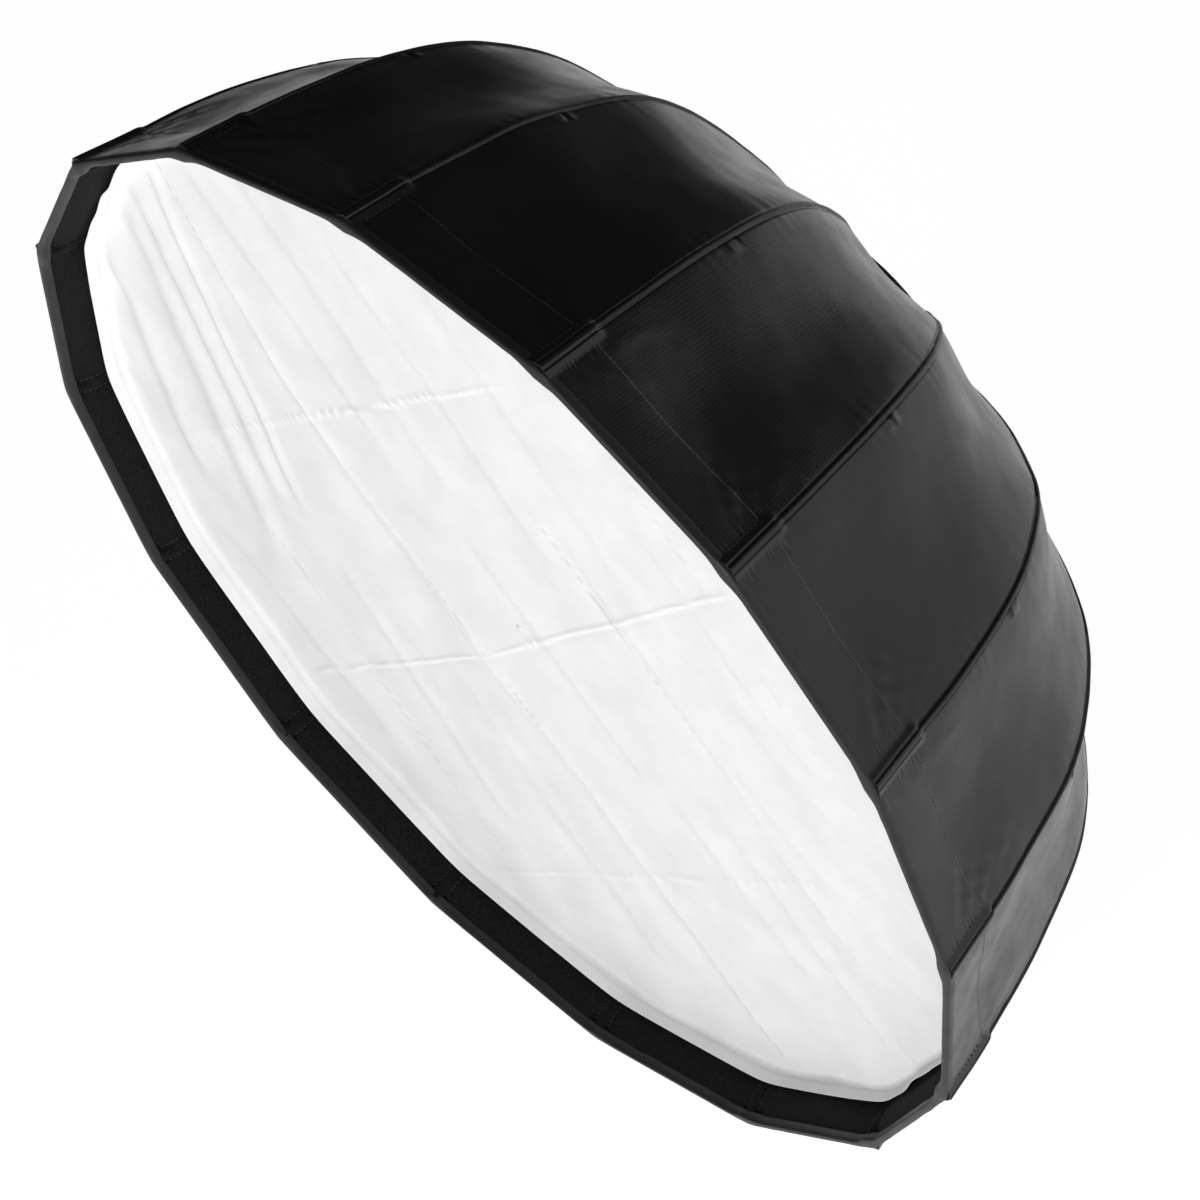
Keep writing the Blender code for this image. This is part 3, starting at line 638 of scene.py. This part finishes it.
def band_lift(index):
    """How far the band lies from the shell's profile: inside it, and a little uneven."""
    sway = ripples(300 + index, 0.02, 0.06)

    def lift(s, t, half, base):
        calm = 1 - ramp(0.8, 0.95, np.abs(t) / half)
        return -band_inset(s, t) - 0.0003 * sway(base) * calm

    return lift


BAND_SHARES = both_sides(.012, .024, .036, .048, .060, .070, .078, .086, .094, .102, .112, .13, .16, .20,
                         .26, .34, .44, .55, .67, .78, .89, 1)


def sew_band():
    pieces = []
    for index in range(ROD_COUNT):
        rows = rows_between(BAND_START, BAND_DEPTH, 0.0021)
        place = on_shell(index, band_lift(index))
        piece = cloth_sheet("rim_band_" + number(index), place, rows, BAND_SHARES, BAND_THICKNESS,
                            (LOOP_PILE, SHELL_NYLON), turned=True)
        crumple(piece, index)
        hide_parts("front_lip")
        pieces.append(piece)
    return pieces


RIM_BAND = sew_band()
print(len(RIM_BAND), "pieces of band")


# %% The folded tape
def swept_loop(name, rings, finish):
    """A tube from rings of points, closed at both ends, shaded smooth."""
    count, around = rings.shape[:2]
    index = np.arange(count * around).reshape(count, around)
    beyond = np.roll(index, -1, axis=1)
    quads = np.stack([index[:-1], beyond[:-1], beyond[1:], index[1:]], -1).reshape(-1, 4).tolist()
    faces = quads + [index[0, ::-1].tolist(), index[-1].tolist()]
    piece = new_piece(name, rings.reshape(-1, 3), faces, np.arange(len(faces)) < len(quads), [finish])
    round_way = np.roll(rings, -1, axis=1) - np.roll(rings, 1, axis=1)
    facing = np.cross(round_way, np.gradient(rings, axis=0))
    facing /= np.linalg.norm(facing, axis=-1, keepdims=True)
    corner_normals = np.concatenate([facing.reshape(-1, 3)[np.ravel(quads)], np.zeros((2 * around, 3))])
    piece.data.normals_split_custom_set(corner_normals.tolist())
    return piece


TAPE_OUTSIDE = 0.0006       # how far the tape stands proud of the shell
TAPE_FRONT = -0.0012
TAPE_BACK = 0.0075
TAPE_DEPTH = 0.0056
TAPE_BULGE = TIP_COVER - 0.0052     # how much deeper it is where it covers a rod's tip
TAPE_LUMPS = 0.00018
RIM_HALF_SIDE = float(half_side(profile(np.array([0.0]))[0, 0], CORNER_ROUNDING))


def tape_outline(inside, count=20):
    """(s, depth) pairs round the folded tape, which is inside metres deep at this place."""
    angle = np.arange(count) * 2 * pi / count
    rounded = lambda wave: np.sign(wave) * np.abs(wave) ** 0.62     # between an oval and a box
    s = (TAPE_FRONT + TAPE_BACK) / 2 + (TAPE_BACK - TAPE_FRONT) / 2 * rounded(np.cos(angle))
    depth = (inside - TAPE_OUTSIDE) / 2 + (inside + TAPE_OUTSIDE) / 2 * rounded(np.sin(angle))
    return s, depth


def bind_rim():
    """One piece of tape per rod. Its lumps fade out before it meets the next piece."""
    pieces = []
    for index in range(ROD_COUNT):
        lumps = ripples(400 + index, 0.008, 0.03)
        rings = []
        for share in BAND_SHARES:
            t = share * RIM_HALF_SIDE
            s, depth = tape_outline(TAPE_DEPTH + TAPE_BULGE * np.exp(-(t / 0.0125) ** 2))
            lumpy = TAPE_LUMPS * (1 - ramp(0.62, 0.87, abs(share)))
            uneven = lambda s, t, half, base: -depth + lumpy * lumps(base)
            rings.append(on_shell(index, uneven)(s, share))
        piece = swept_loop("rim_tape_" + number(index), np.array(rings), BINDING_TAPE)
        crumple(piece, index)
        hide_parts("front_lip")
        pieces.append(piece)
    return pieces


RIM_TAPE = bind_rim()
print(len(RIM_TAPE), "pieces of tape")

# %% A pull tab, caught in the tape
TAB_AZIMUTH = radians(229.5)
TAB_RISE = 0.0036
TAB_HALF_WIDTH = 0.0055
TAB_START, TAB_END = 0.0003, 0.0095
TAB_CLOTH = 0.0007


def sew_tab():
    """A short loop of tape on the rim's outside, which is pulled to take the softbox down."""
    target = np.array([sin(TAB_AZIMUTH), 0.0, cos(TAB_AZIMUTH)])
    index = max(range(ROD_COUNT), key=lambda rod: ways(rod)[0] @ target)
    outward, sideways = ways(index)
    middle = (target @ sideways) / (target @ outward) / tan(HALF_STEP)
    shares = middle + TAB_HALF_WIDTH / RIM_HALF_SIDE * np.linspace(-1, 1, 7)
    rows = np.linspace(TAB_START, TAB_END, 13)
    along = lambda s: (s - TAB_START) / (TAB_END - TAB_START)
    arch = lambda s, t, half, base: TAPE_OUTSIDE + TAB_RISE * np.sin(pi * along(s))
    piece = cloth_sheet("rim_tab", on_shell(index, arch), rows, shares, TAB_CLOTH,
                        (BINDING_TAPE, BINDING_TAPE))
    crumple(piece, index)
    return piece


TAB = sew_tab()
print("tab of", len(TAB.data.polygons), "faces")

# %% [markdown]
# ## The white diffuser
# A disc of white nylon is held in the rim by its elastic hem, which turns forward and grips
# the band. It was stored folded, so a few straight creases cross it, and long soft folds run
# from the corners where the elastic pulls hardest. It could be dropped in as a flat disc,
# but then the light would show none of the cloth.

# %% Folds of the diffuser
DISC_SETBACK = 0.040        # how far the diffuser lies behind the rim
HEM_WIDTH = 0.0085
HEM_TURN = 0.0050           # radius of the bend into the hem
DISC_ROUNDING = 0.016
DISC_CLOTH = 0.0005
DISC_Y = float(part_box("front_diffuser")[1].y)
BAND_EDGE = float(profile(np.array(DISC_SETBACK))[0]) - BAND_INSET
print(f"the diffuser lies at y {DISC_Y:.4f} m inside a radius of {BAND_EDGE:.4f} m")

# Creases and folds as (x1, z1, x2, z2, width, height): straight lines over the disc
STORED = [
    (-.38, .172, .24, .212, .002, .0007), (-.43, -.056, -.077, -.027, .002, .0007),
    (-.077, -.027, .4, .047, .002, .0008), (-.36, -.25, .33, -.215, .002, .0005),
    (-.06, .42, -.102, .141, .0024, .0016), (-.102, .141, -.077, -.027, .0022, .0014),
    (-.077, -.027, -.05, -.42, .0022, .0012), (.14, .12, .168, -.34, .002, .001),
    (-.3, .28, -.285, -.27, .002, .0005), (.3, .24, .31, -.24, .002, .0006)]
LONG_FOLDS = [
    (-.055, .412, -.105, .14, .0085, .0022), (-.105, .15, -.07, -.16, .0075, .0016),
    (-.079, .405, -.124, .302, .0055, .0024), (-.124, .302, -.211, .114, .006, .0024),
    (-.115, .4, -.24, .11, .01, .003), (-.15, .385, -.31, .06, .013, .003),
    (-.02, .415, -.01, .16, .01, .0022), (-.23, .35, -.34, .14, .01, .0028),
    (.05, .4, .045, .12, .012, .002), (-.07, -.15, -.05, -.4, .009, .0016),
    (.118, .33, .12, .06, .009, .0014), (.205, .31, .2, .02, .011, .0014),
    (.16, .08, .165, -.3, .008, .0018), (.06, -.17, .08, -.32, .01, .0018),
    (.23, -.33, .17, -.08, .011, .0022), (.12, -.4, .11, -.16, .01, .002),
    (.3, -.27, .24, -.06, .01, .0018), (-.38, .12, -.33, -.12, .012, .0018),
    (-.15, -.06, -.14, -.33, .011, .0014), (-.215, .06, -.235, -.2, .009, .0014),
    (.02, .08, .035, -.14, .008, .0014), (.27, .08, .29, -.13, .009, .0014)]
CLOUDS = ripples(21, 0.06, 0.17, 24, stretch=(1.0, 1.0, 0.42))
WRINKLES = ripples(22, 0.014, 0.034, 24, stretch=(1.0, 1.0, 0.22))


def line_height(x, z, x1, z1, x2, z2, width, height):
    """Height near one straight fold, fading out towards its ends."""
    length = np.hypot(x2 - x1, z2 - z1)
    along = ((x - x1) * (x2 - x1) + (z - z1) * (z2 - z1)) / length
    beside = ((x - x1) * (z2 - z1) - (z - z1) * (x2 - x1)) / length
    fading = ramp(-0.02, 0.12 * length, along) * ramp(length + 0.02, 0.85 * length, along)
    return height * (ridge(beside, width) - 0.45 * ridge(beside - 1.8 * width, 1.3 * width)) * fading


def disc_relief(place):
    """How far the cloth stands forward at a place on the diffuser."""
    x, z = place[..., 0], place[..., 2]
    folds = sum(line_height(x, z, *fold) for fold in STORED + LONG_FOLDS)
    patchy = 0.6 + 0.4 * np.clip(CLOUDS(place[..., [2, 1, 0]] * 0.7), -1, 1)
    return folds + 0.0011 * CLOUDS(place) + 0.00013 * WRINKLES(place) * patchy


def ruffle(azimuth):
    """How slack the elastic hem is at an azimuth: it gathers at two opposite corners."""
    near = lambda centre, width: ridge(np.angle(np.exp(1j * (azimuth - radians(centre)))), radians(width))
    slack = near(-28, 24) + 0.8 * near(150, 26) + 0.16
    waves = np.sin(21 * azimuth + 1) + 0.7 * np.sin(34 * azimuth + 2 * np.sin(3 * azimuth))
    return slack, (waves + 0.5 * np.sin(55 * azimuth)) / 1.6


def disc_path(reach):
    """(radius, y) at a rod, by distance from the light's axis along the cloth."""
    turn_start = BAND_EDGE - HEM_TURN
    turn = np.clip((reach - turn_start) / HEM_TURN, 0, pi / 2)
    rise = np.clip(reach - turn_start - HEM_TURN * pi / 2, 0, None)
    radius = np.minimum(reach, turn_start) + HEM_TURN * np.sin(turn) + 0.19 * rise
    return np.stack([radius, DISC_Y - HEM_TURN * (1 - np.cos(turn)) - rise], -1)


DISC_REACH = BAND_EDGE - HEM_TURN + HEM_TURN * pi / 2 + HEM_WIDTH


def on_disc(index, path, creased):
    """Places cloth on a disc whose section is path(reach), then moves it by creased(points, reach)."""
    def place(reach, share):
        reach, share = np.broadcast_arrays(reach, share)
        rounding = DISC_ROUNDING * reach / DISC_REACH
        flat = corner(index, path(reach), slope_of(path, reach), share, bare, rounding)
        return creased(flat, reach)

    return place


def uncreased(points, reach):
    return points


def stretched_disc(points, reach):
    """The diffuser's folds, and the ruffles where its hem is slack."""
    slack, waves = ruffle(np.arctan2(points[..., 0], points[..., 2]))
    edge = ramp(DISC_REACH - 0.10, DISC_REACH - 0.012, reach)
    hem = ramp(DISC_REACH - HEM_WIDTH - 0.006, DISC_REACH - HEM_WIDTH, reach)
    forward = disc_relief(points) * (1 - hem) + 0.0024 * slack * waves * edge * (1 - 0.6 * hem)
    inward = (0.0022 + 0.0016 * waves) * slack * ramp(DISC_REACH - 0.05, DISC_REACH - 0.006, reach) + 0.0006
    outward = points * (1, 0, 1)
    outward = outward / np.maximum(np.linalg.norm(outward, axis=-1, keepdims=True), 1e-6)
    return points - forward[..., None] * (0, 1, 0) - inward[..., None] * outward


# %% Cut a disc in sixteen sectors round a small hub
HUB_RADIUS = 0.0035
SECTOR_SHARES = np.linspace(-1, 1, 37)


def hold_in_ring(piece):
    """The sectors stay with the ring."""
    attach(piece, "speedring")
    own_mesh(piece)


def cut_disc(name, node, path, creased, rows, finishes, strip=None):
    """Sixteen sectors and a hub that together stand for one CAD disc."""
    pieces, middle = [], []
    for index in range(ROD_COUNT):
        place = on_disc(index, path, creased)
        piece = cloth_sheet(f"{name}_{number(index)}", place, rows, SECTOR_SHARES, DISC_CLOTH, finishes,
                            strip)
        hold_in_ring(piece)
        widest = widest_cut(path(rows)[:, 0], DISC_ROUNDING)
        flat_area(on_disc(index, path, uncreased), rows, SECTOR_SHARES)
        middle.extend(place(rows[:1], SECTOR_SHARES[:-1]))
        pieces.append(piece)
    hub = np.array(middle).reshape(-1, 3)
    centre = creased(np.array([[0.0, path(np.array(0.0))[1], 0.0]]), np.array([0.0]))
    points = np.concatenate([centre, hub, centre + (0, DISC_CLOTH, 0), hub + (0, DISC_CLOTH, 0)])
    count = len(hub)
    faces = []
    for i in range(count):
        a, b = 1 + i, 1 + (i + 1) % count
        c, d = a + count + 1, b + count + 1
        faces += [(0, a, b), (count + 1, d, c), (b, a, c, d)]
    hub_piece = new_piece(name + "_hub", points, faces, [len(face) == 3 for face in faces], finishes[:1])
    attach(hub_piece, "speedring")
    for piece in pieces + [hub_piece]:
        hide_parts(node)
    return pieces


def on_hem(reach, share):
    return reach > DISC_REACH - HEM_WIDTH


DISC_ROWS = np.concatenate([rows_between(HUB_RADIUS, DISC_REACH - 0.03, 0.0048),
                            rows_between(DISC_REACH - 0.03, DISC_REACH, 0.0014)[1:]])
DIFFUSER = cut_disc("diffuser", "front_diffuser", disc_path, stretched_disc, DISC_ROWS,
                    (DIFFUSER_NYLON, DIFFUSER_NYLON, HEM_NYLON), on_hem)
print(len(DIFFUSER), "sectors of diffuser")

# %% [markdown]
# ## The inner baffle
# Deeper in the shell hangs a second and smaller white disc, which evens out the light. It is
# cut like the diffuser, from the same nylon, and is tied to the seams at its corners.

# %% The inner baffle
BAFFLE_Y = float(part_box("inner_baffle")[1].y)
BAFFLE_RADIUS = float(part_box("inner_baffle")[1].x) / cos(HALF_STEP)


def baffle_path(reach):
    return np.stack([reach, np.full_like(reach, BAFFLE_Y)], -1)


def hanging_disc(points, reach):
    forward = 0.0016 * CLOUDS(points * 1.3) + 0.00025 * WRINKLES(points)
    return points - forward[..., None] * (0, 1, 0)


BAFFLE = cut_disc("baffle", "inner_baffle", baffle_path, hanging_disc,
                  rows_between(HUB_RADIUS, BAFFLE_RADIUS - 0.001, 0.0095), (DIFFUSER_NYLON, DIFFUSER_NYLON))
print(len(BAFFLE), "sectors of baffle, radius", round(BAFFLE_RADIUS, 4))

# %% [markdown]
# ## The rear cuff
# At the back an elastic cuff closes the gap between the ring and the shell. Its gathers run
# from the ring to the rods, which swing when the softbox folds. The cuff is cut in one
# sixteenth for each rod, and each stays where it is built.

# %% The gathered cuff
CUFF_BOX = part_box("rear_cuff")
RING_RADIUS = float(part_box("rear_cover_ring")[1].x)
CUFF_RADIUS = float(CUFF_BOX[1].x)
CUFF_START = np.array([RING_RADIUS + 0.0008, CUFF_BOX[1].y - 0.0006])
CUFF_END = np.array([CUFF_RADIUS, CUFF_BOX[0].y + 0.0008])
CUFF_LENGTH = float(np.linalg.norm(CUFF_END - CUFF_START))
CUFF_CLOTH = 0.0009
CUFF_ROUNDING = 0.02


def cuff_path(distance):
    """(radius, y) from the ring out to the shell, bulging a little to the rear."""
    share = distance / CUFF_LENGTH
    line = CUFF_START + share[..., None] * (CUFF_END - CUFF_START)
    return line + np.stack([0.15 * np.sin(pi * share), np.sin(pi * share)], -1) * 0.0024


def on_cuff(index, gathered):
    """Places the cuff's cloth. gathered is 1 for its gathers and elastic edges, 0 for plain cloth."""
    def place(distance, share):
        distance, share = np.broadcast_arrays(distance, share)
        waves = np.cos(4 * pi * share) + 0.5 * np.cos(10 * pi * share)
        rise = 0.0011 * waves * ramp(0.0, 0.012, distance) + 0.0016 * ridge(distance - 0.0025, 0.0022)
        rise = rise + 0.0012 * ridge(distance - CUFF_LENGTH + 0.004, 0.0024)
        return corner(index, cuff_path(distance), slope_of(cuff_path, distance), share,
                      lambda t, half, base: rise * gathered, CUFF_ROUNDING)

    return place


def sew_cuff():
    pieces = []
    rows, shares = rows_between(0.0, CUFF_LENGTH, 0.0011), np.linspace(-1, 1, 41)
    for index in range(ROD_COUNT):
        piece = cloth_sheet("cuff_" + number(index), on_cuff(index, 1), rows, shares, CUFF_CLOTH,
                            (CUFF_KNIT, CUFF_KNIT), turned=True)
        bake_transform(piece)
        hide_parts("rear_cuff")
        widest = widest_cut(cuff_path(rows)[:, 0], CUFF_ROUNDING)
        1.12 * flat_area(on_cuff(index, 0), rows, shares)
        pieces.append(piece)
    return pieces


CUFF_KNIT = fuzzy_pile("black elastic knit", (0.006, 0.006, 0.0065), (0.020, 0.020, 0.021))
CUFF = sew_cuff()
print(len(CUFF), "pieces of cuff")

# %% [markdown]
# ## Thread
# Seams are seen by their stitches as much as by their relief. A printed line would do from
# afar, but real stitches catch the light one by one, so each is a small bead of its own,
# laid along the line it sews and pressed into the cloth at both ends.

# %% Stitches along a line
STITCH = 0.0030
STITCH_GAP = 0.0011
THREAD_RADIUS = 0.00032
POCKET_SIDE = 0.0093        # from the rod to the stitches along its pocket


def stitch_beads(line, facing):
    """Points and faces of beads along a line of points, each lying on the cloth that it faces."""
    along = np.concatenate([[0.0], np.cumsum(np.linalg.norm(np.diff(line, axis=0), axis=1))])
    count = int(along[-1] // (STITCH + STITCH_GAP))
    at = lambda distance, values: np.stack([np.interp(distance, along, column) for column in values.T], -1)
    bead = [(0.0, 0.05), (0.14, 0.75), (0.5, 1.0), (0.86, 0.75), (1.0, 0.05)]     # (place, thickness)
    points, faces = [], []
    for stitch in range(count):
        begin = (stitch + 0.5) * (STITCH + STITCH_GAP) - STITCH / 2
        for share, size in bead:
            centre, up = at(begin + share * STITCH, line), at(begin + share * STITCH, facing)
            way = at(begin + share * STITCH + SLOPE_STEP, line) - centre
            beside = np.cross(up, way)
            beside /= np.linalg.norm(beside)
            for turn in np.arange(5) * 2 * pi / 5:
                points.append(centre + THREAD_RADIUS * size * (np.cos(turn) * beside + np.sin(turn) * up)
                              + up * THREAD_RADIUS * (0.9 * size - 0.6))
        start = len(points) - 25
        for ring in range(4):
            for k in range(5):
                a, b = start + ring * 5 + k, start + ring * 5 + (k + 1) % 5
                faces.append((a, b, b + 5, a + 5))
        faces.append(tuple(start + k for k in range(4, -1, -1)))
        faces.append(tuple(start + 20 + k for k in range(5)))
    return points, faces


def thread_piece(name, runs):
    """One object from several runs of stitches. A run is (line, facing)."""
    points, faces = [], []
    for line, facing in runs:
        more_points, more_faces = stitch_beads(line, facing)
        faces += [tuple(vertex + len(points) for vertex in face) for face in more_faces]
        points += more_points
    return new_piece(name, np.array(points), faces, np.ones(len(faces), bool), [THREAD])


def run_over(place, s, share, sign=1):
    """A run of stitches over the points (s, share) of a formula's surface."""
    across = place(s, share + NUDGE) - place(s, share - NUDGE)
    facing = np.cross(across, place(s + NUDGE, share) - place(s - NUDGE, share))
    return place(s, share), sign * facing / np.linalg.norm(facing, axis=1, keepdims=True)


def stitch_front(index):
    """The hem line, the pocket's two sides and the band's corner lines of one rod."""
    shell, band = on_shell(index, shell_lift(index)), on_shell(index, band_lift(index))
    half = float(half_side(profile(np.array([0.02]))[0, 0], CORNER_ROUNDING))
    runs = []
    for side in (-1, 1):
        sweep = side * np.linspace(0.011 / half, 0.999, 60)
        runs.append(run_over(shell, np.full(60, HEM_SETBACK - 0.0016), sweep))
        length = np.linspace(0.010, POCKET_END - 0.006, 40)
        length = length[length < HEM_SETBACK - 0.002]
        runs.append(run_over(shell, length, np.full(len(length), side * POCKET_SIDE / half)))
        length = np.linspace(0.0095, BAND_DEPTH - 0.001, 30)
        runs.append(run_over(band, length, np.full(30, side * POCKET_STITCH / half), sign=-1))
    return thread_piece("stitching_" + number(index), runs)


STITCHING = [stitch_front(index) for index in range(ROD_COUNT)]
for index, piece in enumerate(STITCHING):
    crumple(piece, index)
    width = widest_cut(profile(np.array([0.0]))[:, 0], CORNER_ROUNDING)
print(sum(len(piece.data.polygons) for piece in STITCHING), "faces of thread")

# %% [markdown]
# ## Finishes for the hard parts
# The ring is moulded nylon with a fine spark-eroded grain, its cover is black anodised
# alloy, the lamp insert is machined steel, and the rods are glass fibre. These parts keep
# their CAD shapes and only take a finish.

# %% Hard finishes
def moulded(name, dark, light, roughness, grain_scale):
    """A moulded surface with a fine grain, slightly uneven in colour."""
    finish = new_finish(name, dark, roughness, Specular_IOR_Level=0.5)
    grain = noise(finish, grain_scale)
    cloud = noise(finish, 60.0, 5.0)
    bump(finish, grain, "Fac", 0.25, 0.0002)
    blend_colour(finish, cloud, "Fac", dark, light)
    return finish


def turned_metal(name, colour, roughness, metallic):
    """Metal with faint turning marks round the light's axis."""
    finish = new_finish(name, colour, roughness, Metallic=metallic)
    place = add_node(finish, "TexCoord")
    split, flat = add_node(finish, "SeparateXYZ"), add_node(finish, "CombineXYZ")
    radius = add_node(finish, "VectorMath", operation="LENGTH")
    lines = add_node(finish, "TexNoise", noise_dimensions="1D", Scale=2200.0, Detail=2.0)
    join(finish, (place, "Object"), (split, "Vector"), (split, "X"), (flat, "X"), (split, "Z"), (flat, "Z"),
         (flat, "Vector"), (radius, "Vector"), (radius, "Value"), (lines, "W"))
    bump(finish, lines, "Fac", 0.3, 0.0001)
    varied_roughness(finish, lines, "Fac", To_Min=roughness - 0.08, To_Max=roughness + 0.10)
    return finish


HARD = {
    "black_nylon": moulded("moulded black nylon", (0.018, 0.018, 0.019), (0.028, 0.028, 0.030),
                           0.48, 2400.0),
    "red_nylon": moulded("moulded red nylon", (0.38, 0.018, 0.015), (0.46, 0.024, 0.020), 0.38, 2400.0),
    "glass_fibre": moulded("black glass fibre", (0.020, 0.020, 0.022), (0.045, 0.045, 0.048), 0.32, 1200.0),
    "black_alloy": turned_metal("black anodised alloy", (0.055, 0.055, 0.060), 0.38, 0.8),
    "bright_steel": turned_metal("machined steel", (0.58, 0.58, 0.60), 0.30, 1.0),
}
NODE_SLOTS = {"bayonet_insert": "bright_steel", "hinge_wire": "bright_steel",
              "rear_cover_ring": "black_alloy",
              "release_button_left": "red_nylon", "release_button_right": "red_nylon"}
for name, node in frame["nodes"].items():
    plain_rod = name.startswith("rod_") and not name.startswith("rod_bracket")
    finish = HARD[NODE_SLOTS.get(name, "glass_fibre" if plain_rod else "black_nylon")]
    for material_slot in node.material_slots:
        material_slot.material = finish
print("hard finishes:", sorted(HARD))

# %% [markdown]
# ## Floor, light and camera
# Softboxes are shown in a white studio. A pale floor runs out to the horizon, the room is
# bright low down and dark overhead, which gives the black cloth its broad soft gradients,
# and one large lamp in front fills the white diffuser.

# %% The studio
FLOOR_GAP = 0.012           # from the floor to the softbox's lowest point
FLOOR_LEVEL = float(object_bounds()[0].z) - FLOOR_GAP
FLOOR_HALF = 14.0
ROOM_GREYS = [(0.0, 1.0), (0.05, 0.65), (0.11, 0.15), (0.24, 0.04), (1.0, 0.01)]   # (height, grey)
REAR_WASH = dict(From_Min=-0.1, From_Max=0.9, To_Min=0.9, To_Max=1.5)   # walls brighten to the rear


def pale_floor():
    finish = new_finish("pale floor", (0.45, 0.45, 0.45), 0.9, Emission_Color=(1, 1, 1, 1),
                        Emission_Strength=0.97)
    square = np.array([(-1, -1), (1, -1), (1, 1), (-1, 1)]) * FLOOR_HALF
    points = np.insert(square, 2, FLOOR_LEVEL, axis=1)
    new_piece("floor", points, [(0, 1, 2, 3)], [False], [finish])


def studio_room():
    """Bright near the horizon and dark overhead, and plain white behind the softbox."""
    world = bpy.data.worlds.new("studio")
    world.use_nodes = True
    bpy.context.scene.world = world
    room, output = [world.node_tree.nodes[name] for name in ("Background", "World Output")]
    backdrop, either = add_node(world, "Background", Color=(1, 1, 1, 1)), add_node(world, "MixShader")
    place, split, view = [add_node(world, kind) for kind in ("TexCoord", "SeparateXYZ", "LightPath")]
    shade, wash = add_node(world, "ValToRGB"), add_node(world, "MapRange", **REAR_WASH)
    for position, _ in ROOM_GREYS[1:-1]:
        shade.color_ramp.elements.new(position)
    for stop, (position, grey) in zip(shade.color_ramp.elements, ROOM_GREYS):
        stop.position, stop.color = position, (grey, grey, grey, 1)
    join(world, (place, "Generated"), (split, "Vector"), (split, "Z"), (shade, "Fac"),
         (shade, "Color"), (room, "Color"), (split, "Y"), (wash, "Value"),
         (wash, "Result"), (room, "Strength"), (view, "Is Camera Ray"), (either, "Fac"),
         (room, "Background"), (either, 1), (backdrop, "Background"), (either, 2),
         (either, "Shader"), (output, "Surface"))


def soft_lamp(name, place, target, size, power):
    data = bpy.data.lights.new(name, "AREA")
    data.shape, data.size, data.energy = "DISK", size, power
    lamp = bpy.data.objects.new(name, data)
    bpy.context.scene.collection.objects.link(lamp)
    lamp.location = place
    lamp.rotation_euler = (Vector(target) - Vector(place)).to_track_quat("-Z", "Y").to_euler()


pale_floor()
studio_room()
soft_lamp("front fill", place=(1.4, -3.1, 0.15), target=(0, -0.4, 0), size=1.4, power=50)
bpy.context.scene.view_settings.view_transform = "Standard"

# %% The camera
# It stands to the right of the softbox and a little above, and is rolled as if the softbox
# were tipped down on its stand.
CAMERA_PLACE = Vector((3.5410, -1.7780, 1.2286))
CAMERA_AHEAD = Vector((-0.87661, 0.36775, -0.31034))
CAMERA_UP = Vector((-0.01626, 0.62192, 0.78291))
LENS = 170.6

camera_data = bpy.data.cameras.new("camera")
camera_data.lens = LENS
camera = bpy.data.objects.new("camera", camera_data)
bpy.context.scene.collection.objects.link(camera)
right = CAMERA_AHEAD.cross(CAMERA_UP).normalized()
turn = Matrix((right, CAMERA_UP, -CAMERA_AHEAD)).transposed().to_4x4()
camera.matrix_world = Matrix.Translation(CAMERA_PLACE) @ turn
bpy.context.scene.camera = camera
print("camera at", tuple(round(value, 3) for value in CAMERA_PLACE))
